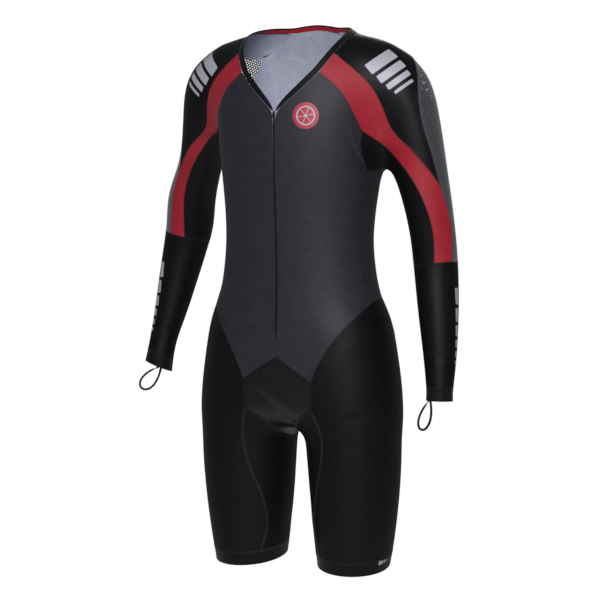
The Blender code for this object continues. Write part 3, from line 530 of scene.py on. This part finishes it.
def crease(ob):
    """Presses the creases into the skin along its normals."""
    mesh = ob.data
    p = coords(mesh)
    n = np.array([v.normal for v in mesh.vertices])
    move = np.zeros(len(p))
    for start, end, depth, half_width in CREASES:
        a, b = np.array(start), np.array(end)
        run = b - a
        t = np.clip((p - a) @ run / (run @ run), -CREASE_FADE, 1 + CREASE_FADE)
        away = np.linalg.norm(p - a - t[:, None] * run, axis=1)
        fade = np.clip(np.sin(math.pi * (t + CREASE_FADE) / (1 + 2 * CREASE_FADE)), 0, 1)
        move -= depth * MM * fade * np.exp(-(away / (half_width * MM)) ** 2)
    p += n * move[:, None]
    mesh.vertices.foreach_set("co", p.ravel())
    mesh.update()


def close_folds(bm):
    """Joins each loose edge point at the armpits to the longer edge of the piece across the seam."""
    def piece(part):
        return part.link_faces[0].material_index

    loose = [vert for vert in bm.verts if abs(vert.co.x) > ARMPIT_X and vert.co.z > ARMPIT_Z
             and any(len(edge.link_faces) == 1 for edge in vert.link_edges)
             and len({face.material_index for face in vert.link_faces}) == 1]
    for vert in loose:
        found = None
        for edge in bm.edges:
            if len(edge.link_faces) == 1 and piece(edge) != piece(vert):
                a, b = edge.verts
                run = b.co - a.co
                share = (vert.co - a.co).dot(run) / run.length_squared
                share = min(max(share, SPLIT_MARGIN), 1 - SPLIT_MARGIN)
                away = (vert.co - a.co - run * share).length
                if away < ARMPIT_REACH and (found is None or away < found[0]):
                    found = away, edge, a, share
        if found:
            new = bmesh.utils.edge_split(found[1], found[2], found[3])[1]
            bmesh.ops.pointmerge(bm, verts=[vert, new], merge_co=vert.co)


def relax_folds(bm):
    """Closes what stays open at the armpits, and softens the faces that fold over there."""
    def inside(edge):
        return all(abs(vert.co.x) > ARMPIT_X and vert.co.z > ARMPIT_Z for vert in edge.verts)

    gaps = [edge for edge in bm.edges if len(edge.link_faces) == 1 and inside(edge)]
    for face in bmesh.ops.holes_fill(bm, edges=gaps, sides=0)["faces"]:
        around = [other.material_index for edge in face.edges for other in edge.link_faces if other != face]
        face.material_index = max(set(around), key=around.count)
    bmesh.ops.recalc_face_normals(bm, faces=bm.faces)
    for _ in range(RELAX_ROUNDS):
        tight = {vert for edge in bm.edges if inside(edge) and len(edge.link_faces) == 2
                 and edge.calc_face_angle(0.0) > FOLD_ANGLE for vert in edge.verts}
        bmesh.ops.smooth_vert(bm, verts=[vert for vert in bm.verts if vert in tight], factor=0.5,
                              use_axis_x=True, use_axis_y=True, use_axis_z=True)


def keep_seams(skin):
    """Creases the lines between two pieces so that they stay smooth lines of their own."""
    bm = bmesh.new()
    bm.from_mesh(skin.data)
    weight = bm.edges.layers.float.new("crease_edge")
    for edge in bm.edges:
        edge[weight] = float(len({face.material_index for face in edge.link_faces}) > 1)
    bm.to_mesh(skin.data)
    bm.free()


def make_skin():
    names = [node for node in sorted(SLOTS) if node not in TRIMS]
    bm = bmesh.new()
    for index, node in enumerate(names):
        bm.from_mesh(outer_faces(node, index))
    bmesh.ops.remove_doubles(bm, verts=bm.verts, dist=WELD)
    close_folds(bm)
    relax_folds(bm)
    mesh = bpy.data.meshes.new("skin")
    bm.to_mesh(mesh)
    bm.free()
    for node in names:
        mesh.materials.append(bpy.data.materials.new("piece_" + node))
    skin = bpy.data.objects.new("skin", mesh)
    bpy.context.scene.collection.objects.link(skin)
    edit(skin, bpy.ops.mesh.tris_convert_to_quads, face_threshold=math.radians(60),
         shape_threshold=math.radians(70), materials=True)
    edit(skin, bpy.ops.mesh.normals_make_consistent, inside=False)
    keep_seams(skin)
    apply(skin, "SUBSURF", levels=2, render_levels=2, boundary_smooth="PRESERVE_CORNERS")
    crease(skin)
    return skin, names


def seam_lines(skin, names):
    """The lines where two pieces meet: (piece, piece, points, normals)."""
    bm = bmesh.new()
    bm.from_mesh(skin.data)
    groups = {}
    for edge in bm.edges:
        if len(edge.link_faces) == 2:
            a, b = sorted(face.material_index for face in edge.link_faces)
            if a != b:
                groups.setdefault((a, b), {})[edge] = True
    lines = []
    for (a, b), edges in groups.items():
        while edges:
            ends = [e for e in edges if any(sum(x in edges for x in v.link_edges) == 1 for v in e.verts)]
            edge = ends[0] if ends else next(iter(edges))
            vert = edge.verts[0]
            if sum(x in edges for x in vert.link_edges) != 1:
                vert = edge.verts[1]
            chain = [vert]
            while edge:
                edges.pop(edge)
                vert = edge.other_vert(vert)
                chain.append(vert)
                edge = next((e for e in vert.link_edges if e in edges), None)
            lines.append((names[a], names[b], np.array([v.co for v in chain]),
                          np.array([v.normal for v in chain])))
    bm.free()
    return lines


def even(points, normals, step, start=0.5):
    """Places step apart along a line, with the line's direction and normal there."""
    length = np.concatenate([[0], np.cumsum(np.linalg.norm(np.diff(points, axis=0), axis=1))])
    at = np.arange(start * step, length[-1], step)
    place = np.column_stack([np.interp(at, length, points[:, i]) for i in range(3)])
    normal = np.column_stack([np.interp(at, length, normals[:, i]) for i in range(3)])
    ahead = np.column_stack([np.interp(at + 0.5 * MM, length, points[:, i]) for i in range(3)])
    behind = np.column_stack([np.interp(at - 0.5 * MM, length, points[:, i]) for i in range(3)])
    run = ahead - behind
    run /= np.maximum(np.linalg.norm(run, axis=1), 1e-9)[:, None]
    normal -= run * (normal * run).sum(axis=1)[:, None]
    normal /= np.maximum(np.linalg.norm(normal, axis=1), 1e-9)[:, None]
    return place, run, normal


def scatter(name, unit, place, run, normal, finish):
    """Copies of a small mesh at the places, its x along run and its z along normal, as one piece."""
    verts = coords(unit.data)
    faces = np.array([f.vertices[:] for f in unit.data.polygons])
    across = np.cross(normal, run)
    axes = np.stack([run, across, normal], axis=1)
    all_verts = np.einsum("vi,nij->nvj", verts, axes) + place[:, None]
    all_faces = faces[None] + (np.arange(len(place)) * len(verts))[:, None, None]
    ob = new_object(name, all_verts.reshape(-1, 3), all_faces.reshape(-1, faces.shape[1]))
    smooth(ob, 60.0)
    settle(ob, finish, ())


def stitch_unit():
    """One stitch: a short low thread, humped in the middle."""
    bpy.ops.mesh.primitive_cylinder_add(vertices=4, radius=1, depth=2, rotation=(0, math.pi / 2, 0))
    unit = bpy.context.object
    bpy.ops.object.transform_apply(rotation=True)
    unit.scale = (STITCH_LENGTH / 2, STITCH_WIDTH / 2, STITCH_HEIGHT / 2)
    bpy.ops.object.transform_apply(scale=True)
    edit(unit, bpy.ops.mesh.quads_convert_to_tris)
    return unit


def sew(lines, name, finish):
    """Flatlock seams: two rows of stitches along each seam, one on each side of it."""
    places, runs, ups = [], [], []
    for _, _, points, normals in lines:
        place, run, normal = even(points, normals, STITCH_STEP)
        across = np.cross(normal, run)
        for way in (1, -1):
            places.append(place + across * ROW_AWAY * way + normal * STITCH_LIFT)
            runs.append(run)
            ups.append(normal)
    unit = stitch_unit()
    scatter(name, unit, np.concatenate(places), np.concatenate(runs), np.concatenate(ups), finish)
    bpy.data.objects.remove(unit)


def ribbon(name, points, normals, width, height, finish, nodes, rise=0.0):
    """A soft raised tape along a line: a low arch over a flat underside."""
    place, run, normal = even(points, normals, TAPE_STEP, 0.0)
    across = np.cross(normal, run)
    profile = [(math.cos(a) * width / 2, math.sin(a) ** 0.7 * height + rise)
               for a in np.linspace(0, math.pi, 7)]
    profile += [(-width / 4, rise - TAPE_UNDER), (width / 4, rise - TAPE_UNDER)]
    rounds = np.array([place + across * x + normal * z for x, z in profile]).transpose(1, 0, 2)
    rows, cols = rounds.shape[:2]
    faces = []
    for i in range(rows - 1):
        for j in range(cols):
            k = (j + 1) % cols
            faces.append((i * cols + j, i * cols + k, (i + 1) * cols + k, (i + 1) * cols + j))
    faces += [tuple(range(cols))[::-1], tuple((rows - 1) * cols + j for j in range(cols))]
    ob = new_object(name, rounds.reshape(-1, 3), faces)
    edit(ob, bpy.ops.mesh.normals_make_consistent, inside=False)
    smooth(ob, 50.0)
    settle(ob, finish, nodes)


# flat patterns
def cut_tube(piece):
    """Marks a seam down a closed tube so that it can be laid flat."""
    bm = bmesh.new()
    bm.from_mesh(piece.data)
    rim = [v for v in bm.verts if any(len(e.link_faces) == 1 for e in v.link_edges)]
    vert = max(rim, key=lambda v: v.co.z + (v.co.y * 0.5))
    edge = next(e for e in vert.link_edges if len(e.link_faces) == 2)
    while edge:
        edge.seam = True
        vert = edge.other_vert(vert)
        across = set(edge.link_faces)
        edge = next((e for e in vert.link_edges if len(e.link_faces) == 2 and not across & set(e.link_faces)),
                    None)
    bm.to_mesh(piece.data)
    bm.free()


def lay_flat(piece):
    """Unwraps a piece to its real size, in metres with its wales upright. Gives the sides of the smallest
    box round it, and its area."""
    edit(piece, bpy.ops.uv.unwrap, method="ANGLE_BASED", margin=0.0)
    mesh = piece.data
    layer = mesh.uv_layers.active
    layer.name = "flat"
    uv = np.zeros(len(mesh.loops) * 2)
    layer.data.foreach_get("uv", uv)
    uv = uv.reshape(-1, 2)
    p = coords(mesh)
    index = np.array([loop.vertex_index for loop in mesh.loops])
    area = sum(f.area for f in mesh.polygons)
    flat_area = 0.0
    for f in mesh.polygons:
        q = uv[f.loop_start:f.loop_start + f.loop_total]
        flat_area += abs(np.sum(q[:, 0] * np.roll(q[:, 1], -1) - q[:, 1] * np.roll(q[:, 0], -1))) / 2
    uv *= math.sqrt(area / flat_area)
    fit = np.linalg.lstsq(np.column_stack([uv, np.ones(len(uv))]), p[index, 2], rcond=None)[0]
    up = fit[:2] / np.linalg.norm(fit[:2])
    uv = uv @ np.array([[up[1], up[0]], [-up[0], up[1]]])
    uv -= uv.mean(axis=0)
    layer.data.foreach_set("uv", uv.ravel())
    sizes = []
    for turn in np.radians(np.arange(0, 90, 3)):
        x = uv @ (math.cos(turn), math.sin(turn))
        y = uv @ (-math.sin(turn), math.cos(turn))
        sizes.append((np.ptp(x), np.ptp(y)))
    width, length = min(sizes, key=lambda size: size[0] * size[1])
    return width, length, area


def make_net(piece, side):
    """Turns the upper arm's panel into a plain border with a knitted hexagonal net inside it."""
    mesh = piece.data
    layer = mesh.uv_layers["flat"]
    uv = np.zeros((len(mesh.vertices), 3))
    for loop, data in zip(mesh.loops, layer.data):
        uv[loop.vertex_index, :2] = data.uv
    mesh.calc_loop_triangles()
    triangles = [tuple(t.vertices) for t in mesh.loop_triangles]
    flat = BVHTree.FromPolygons([Vector(v) for v in uv], triangles)
    p = coords(mesh)
    normals = np.array([v.normal for v in mesh.vertices])

    def raise_up(x, y):
        """The point of the worn panel that lies at x, y on the flat one, or None outside it."""
        spot, _, index, away = flat.find_nearest(Vector((x, y, 0)))
        if away > 0.02 * MM:
            return None
        t = triangles[index]
        a, b, c = (uv[i, :2] for i in t)
        m = np.column_stack([b - a, c - a])
        s, r = np.linalg.solve(m, np.array((x, y)) - a)
        return p[t[0]] * (1 - s - r) + p[t[1]] * s + p[t[2]] * r - normals[t[0]] * NET_SINK

    low, high = uv[:, :2].min(axis=0), uv[:, :2].max(axis=0)
    across, up = NET_PITCH, NET_PITCH * math.sqrt(3) / 2
    corner = [(math.cos(a) * NET_PITCH / math.sqrt(3), math.sin(a) * NET_PITCH / math.sqrt(3))
              for a in np.radians(np.arange(30, 390, 60))]
    verts, faces, known = [], [], {}

    def vertex(x, y):
        key = (round(x / NET_JOIN), round(y / NET_JOIN))
        if key not in known:
            spot = raise_up(x, y)
            known[key] = None if spot is None else len(verts)
            if spot is not None:
                verts.append(spot)
        return known[key]

    for row in range(int((high[1] - low[1]) / up) + 1):
        y = low[1] + row * up
        for column in range(int((high[0] - low[0]) / across) + 1):
            x = low[0] + (column + 0.5 * (row % 2)) * across
            outer = [vertex(x + cx, y + cy) for cx, cy in corner]
            inner = [vertex(x + cx * NET_HOLE, y + cy * NET_HOLE) for cx, cy in corner]
            if None in outer or None in inner:
                continue
            faces += [(outer[i], outer[(i + 1) % 6], inner[(i + 1) % 6], inner[i]) for i in range(6)]
    net = new_object("net_" + side, verts, faces)
    edit(net, bpy.ops.mesh.remove_doubles, threshold=NET_JOIN)
    edit(net, bpy.ops.mesh.delete_loose)
    edit(net, bpy.ops.mesh.normals_make_consistent, inside=False)
    apply(net, "SOLIDIFY", thickness=NET_WALL, offset=-1.0)
    smooth(net, 30.0)

    # the panel keeps only its border
    bm = bmesh.new()
    bm.from_mesh(mesh)
    edge_verts = {v for e in bm.edges if len(e.link_faces) == 1 for v in e.verts}
    inside = [f for f in bm.faces if not any(v in edge_verts for v in f.verts)]
    bmesh.ops.delete(bm, geom=inside, context="FACES")
    bm.to_mesh(mesh)
    bm.free()
    return net


def make_shells(skin, names):
    """Splits the skin into its pieces and gives each its thickness, finish and flat size."""
    edit(skin, bpy.ops.mesh.separate, type="MATERIAL")
    pieces = {}
    for ob in list(bpy.context.selected_objects):
        node = ob.material_slots[ob.data.polygons[0].material_index].material.name[len("piece_"):]
        pieces[node] = ob
    for node in names:
        piece = pieces[node]
        piece.name = "cloth_" + node
        kind = node.rsplit("_", 1)[0] if node.endswith(("_left", "_right")) else node
        if kind in TUBES:
            cut_tube(piece)
        width, length, area = lay_flat(piece)
        piece.data.polygons.foreach_set("material_index", [0] * len(piece.data.polygons))
        net = make_net(piece, node.rsplit("_", 1)[1]) if kind == "mesh" else None
        outside, inside = FINISHES[kind]
        piece.data.materials.clear()
        piece.data.materials.append(MATERIALS[outside])
        piece.data.materials.append(MATERIALS[inside])
        apply(piece, "SOLIDIFY", thickness=CLOTH, offset=-1.0, material_offset=1, material_offset_rim=0)
        smooth(piece, 60.0)
        settle(piece, None, [node])
        if net:
            settle(net, "black_net", [node])


# trims
def soft_trim(node, finish):
    ob = merged_copy(node, "trim_" + node)
    apply(ob, "SUBSURF", levels=2, render_levels=2)
    smooth(ob, 80.0)
    settle(ob, finish, [node])


def insert_tape(lines):
    """The raised tape over the front of the insert's seam, run on to where the seam turns under the body."""
    edges = [line for line in lines if "crotch_insert" in line[:2]]
    for number, (a, b, points, normals) in enumerate(edges):
        front = points[:, 1] < INSERT_TAPE_FROM_Y
        if front.sum() < 4:
            continue
        name = a if b == "crotch_insert" else b
        keep = np.where(front)[0]
        part = slice(keep[0], keep[-1] + 1)
        ribbon("insert_tape_by_" + name, points[part], normals[part], INSERT_TAPE, INSERT_TAPE_HIGH,
               "binding_elastic", ["insert_tape"])


def zip_line():
    """The zip's middle line and normals, read off the front of its CAD strip, with its tape's hidden lower
    end, and the number of points that have teeth."""
    low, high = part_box("zip")
    node = frame["nodes"]["zip"].data
    tree = BVHTree.FromPolygons([v.co for v in node.vertices], [f.vertices[:] for f in node.polygons])
    points, normals = [], []
    for z in np.arange(high.z - 0.5 * MM, low.z, -ZIP_STEP):
        spot, normal, _, _ = tree.ray_cast(Vector((ZIP_X, low.y - 0.05, z)), Vector((0, 1, 0)))
        if spot:
            points.append(spot)
            normals.append(normal)
    for _ in range(ZIP_HIDDEN):
        points.append(points[-1] + Vector((0, 0, -ZIP_STEP)))
        normals.append(normals[-1])
    return np.array(points), np.array(normals), len(points) - ZIP_HIDDEN


def make_zip():
    points, normals, end = zip_line()
    ribbon("zip_tape", points, normals, ZIP_TAPE, ZIP_TAPE_HIGH, "zip_tape", ["zip"], rise=-ZIP_TAPE_SINK)
    place, run, normal = even(points[:end], normals[:end], TOOTH_STEP)
    bpy.ops.mesh.primitive_cube_add(size=1)
    unit = bpy.context.object
    unit.scale = TOOTH
    bpy.ops.object.transform_apply(scale=True)
    edit(unit, bpy.ops.mesh.bevel, offset=0.12 * MM, segments=1, affect="EDGES")
    edit(unit, bpy.ops.mesh.quads_convert_to_tris)
    across = np.cross(normal, run)
    shift = np.where(np.arange(len(place)) % 2, TOOTH_AWAY, -TOOTH_AWAY)[:, None]
    scatter("zip_coil", unit, place + across * shift - normal * TOOTH_SINK, run, normal, "zip_coil")
    bpy.data.objects.remove(unit)


def make_slider():
    """A small enamelled slider, closed at the top of the zip: a waisted body with a bridge over it."""
    low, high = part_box("zip_slider")
    centre = (low + high) / 2
    size = high - low
    bpy.ops.mesh.primitive_cube_add(size=1, location=centre)
    body = bpy.context.object
    body.name = "slider"
    body.scale = (size.x, size.y * SLIDER_DEEP, size.z)
    bpy.ops.object.transform_apply(scale=True)
    edit(body, bpy.ops.mesh.subdivide, number_cuts=3)
    for v in body.data.vertices:
        along = (v.co.z - centre.z) / (size.z / 2)
        v.co.x = centre.x + (v.co.x - centre.x) * (1 - SLIDER_WAIST + SLIDER_WAIST * along)
    bpy.ops.mesh.primitive_torus_add(
        location=centre + Vector((0, -size.y * BRIDGE_OUT, 0)), rotation=(0, math.pi / 2, 0),
        major_radius=size.z * BRIDGE_RADIUS, minor_radius=BRIDGE_WIRE, major_segments=24, minor_segments=10)
    bridge = bpy.context.object
    bridge.scale = (1, 1, 0.8)
    bpy.ops.object.select_all(action="DESELECT")
    bridge.select_set(True)
    body.select_set(True)
    bpy.context.view_layer.objects.active = body
    bpy.ops.object.join()
    bpy.ops.object.transform_apply(location=True, rotation=True, scale=True)
    apply(body, "BEVEL", width=0.35 * MM, segments=3, limit_method="ANGLE", angle_limit=math.radians(50))
    smooth(body, 40.0)
    settle(body, "slider_enamel", ["zip_slider"])


# prints
def bar(width, length, corner):
    """A rounded bar as a grid of points, in metres."""
    width, length, corner = width * MM, length * MM, min(corner, width / 2 - 0.01, length / 2 - 0.01) * MM
    down = np.linspace(-1, 1, max(9, int(length / (2 * MM)) | 1))
    down = np.sign(down) * (1 - (1 - np.abs(down)) ** 1.4)
    y = down * length / 2
    beyond = np.clip(np.abs(y) - (length / 2 - corner), 0, corner)
    half = width / 2 - corner + np.sqrt(np.maximum(corner ** 2 - beyond ** 2, 0))
    x = np.linspace(-1, 1, max(5, int(width / (2 * MM)) | 1))
    return half[:, None] * x[None], np.repeat(y[:, None], len(x), axis=1)


def ring(inner, outer, count):
    """A flat ring as a grid of points, radii in millimetres."""
    angle = np.radians(np.linspace(0, 360, count + 1))
    radius = np.linspace(inner, outer, max(3, int((outer - inner) / 2))) * MM
    return radius[:, None] * np.cos(angle)[None], radius[:, None] * np.sin(angle)[None]


def lay_print(name, shape, tree, centre, aim, turn, finish, lift=FILM_LIFT):
    """Lays a flat shape on the skin: each point goes along aim to the cloth, then off it by lift."""
    x, y = shape
    aim = Vector(aim).normalized()
    side = aim.cross(Vector((0, 0, 1))).normalized()
    up = side.cross(aim).normalized()
    c, s = math.cos(math.radians(turn)), math.sin(math.radians(turn))
    verts = []
    for px, py in zip(x.ravel(), y.ravel()):
        start = Vector(centre) + side * (px * c - py * s) + up * (px * s + py * c) - aim * PRINT_FROM
        spot, normal, _, _ = tree.ray_cast(start, aim, PRINT_REACH)
        verts.append(spot - aim * lift if normal.dot(aim) < 0 else spot - aim * (lift + CLOTH))
    rows, cols = x.shape
    faces = [(i * cols + j, i * cols + j + 1, (i + 1) * cols + j + 1, (i + 1) * cols + j)
             for i in range(rows - 1) for j in range(cols - 1)]
    ob = new_object(name, verts, faces)
    edit(ob, bpy.ops.mesh.remove_doubles, threshold=0.02 * MM)
    edit(ob, bpy.ops.mesh.normals_make_consistent, inside=False)
    if sum(face.normal.dot(aim) * face.area for face in ob.data.polygons) > 0:
        ob.data.flip_normals()
    apply(ob, "SOLIDIFY", thickness=FILM, offset=0.0)
    smooth(ob, 60.0)
    settle(ob, finish, ())


def make_prints(tree):
    for side in ("left", "right"):
        centre, aim, turn = SHOULDER[side]
        axis = Vector(aim).normalized()
        right = axis.cross(Vector((0, 0, 1))).normalized()
        up = right.cross(axis)
        c, s = math.cos(math.radians(turn)), math.sin(math.radians(turn))
        for number, (away, width, length) in enumerate(SHOULDER_BARS):
            spot = Vector(centre) + (right * -s + up * c) * (-away * MM)
            lay_print(f"shoulder_bar_{side}_{number}", bar(length, width, 1.5), tree, spot, aim, turn,
                      "pale_print")
        centre, aim, lean, turn = FOREARM[side]
        for number, (down, length, height) in enumerate(FOREARM_DASHES):
            spot = Vector(centre) + Vector(lean) * ((down + length / 2) * MM)
            lay_print(f"forearm_dash_{side}_{number}", bar(height, length, 2.0), tree, spot, aim, turn,
                      "pale_print")
    for number, (x, z, width, height) in enumerate(INSIDE_BARS):
        lay_print(f"inside_bar_{number}", bar(width, height, 6.0), tree, (x * MM, INSIDE_BARS_Y, z * MM),
                  (0, 1, 0), 0.0, "inside_print")
    for number, width in enumerate(HEM_DASHES):
        spot = [first + step * number for first, step in zip(HEM_PLACE, HEM_STEP)]
        lay_print(f"hem_dash_{number}", bar(width * 0.5 + 1.0, 8.0 - number, 1.0), tree, spot, HEM_AIM, 0.0,
                  "pale_print")
    for part, (inner, outer, count, finish, lift) in BADGE_RINGS.items():
        lay_print("badge_" + part, ring(inner, outer, count), tree, BADGE_PLACE, BADGE_AIM, 0.0, finish,
                  lift)
    axis = Vector(BADGE_AIM).normalized()
    right = axis.cross(Vector((0, 0, 1))).normalized()
    up = right.cross(axis)
    for number in range(SPOKES):
        turn = 360 / SPOKES * number + SPOKE_TURN
        angle = math.radians(turn)
        spot = Vector(BADGE_PLACE) + (right * math.cos(angle) + up * math.sin(angle)) * SPOKE_AWAY
        lay_print(f"badge_spoke_{number}", bar(*SPOKE), tree, spot, BADGE_AIM, turn, "pale_print",
                  SECOND_LIFT)


# floor and light
def studio():
    bpy.ops.mesh.primitive_circle_add(vertices=96, radius=FLOOR_RADIUS, fill_type="NGON",
                                      location=(0, 0, FLOOR_Z))
    floor = bpy.context.object
    floor.name = "floor"
    material, tree, shader = new_material("floor_paint", 0.9)
    place = add(tree, "ShaderNodeTexCoord").outputs["Object"]
    soft = add(tree, "ShaderNodeTexNoise", {"Scale": 0.6}, {"Vector": place})
    tree.links.new(tones(tree, soft.outputs["Fac"], "#F2F2F2", "#F8F8F8"), shader.inputs["Base Color"])
    floor.data.materials.append(material)

    world = bpy.data.worlds.new("studio")
    bpy.context.scene.world = world
    world.use_nodes = True
    tree = world.node_tree
    sky = tree.nodes["Background"]
    sky.inputs["Color"].default_value = (1, 1, 1, 1)
    sky.inputs["Strength"].default_value = WORLD_LIGHT
    white = add(tree, "ShaderNodeBackground", {"Color": (1, 1, 1, 1), "Strength": 1.0})
    path = add(tree, "ShaderNodeLightPath")
    mix = add(tree, "ShaderNodeMixShader", {}, {0: path.outputs["Is Camera Ray"], 1: sky.outputs[0],
                                               2: white.outputs[0]})
    tree.links.new(mix.outputs[0], tree.nodes["World Output"].inputs["Surface"])

    for name, place, size, power in LIGHTS:
        data = bpy.data.lights.new(name, "AREA")
        data.shape = "DISK"
        data.size = size
        data.energy = power
        ob = bpy.data.objects.new(name, data)
        bpy.context.scene.collection.objects.link(ob)
        ob.location = place
        ob.rotation_euler = (Vector(place) - Vector(LIGHT_AIM)).to_track_quat("Z", "Y").to_euler()


camera()
for side in ("left", "right"):
    thumb_loop(side)
skin, names = make_skin()
lines = seam_lines(skin, names)
make_prints(BVHTree.FromPolygons([vert.co for vert in skin.data.vertices],
                                 [face.vertices[:] for face in skin.data.polygons]))
make_shells(skin, names)
on_legs = [line for line in lines if any(name.startswith("inner_leg") for name in line[:2])]
sew(on_legs, "leg_stitches", "grey_thread")
sew([line for line in lines if not any(line is other for other in on_legs)], "stitches", "black_thread")
insert_tape(lines)
soft_trim("neck_binding", "binding_elastic")
soft_trim("neck_tape", "red_tape")
make_zip()
make_slider()
studio()
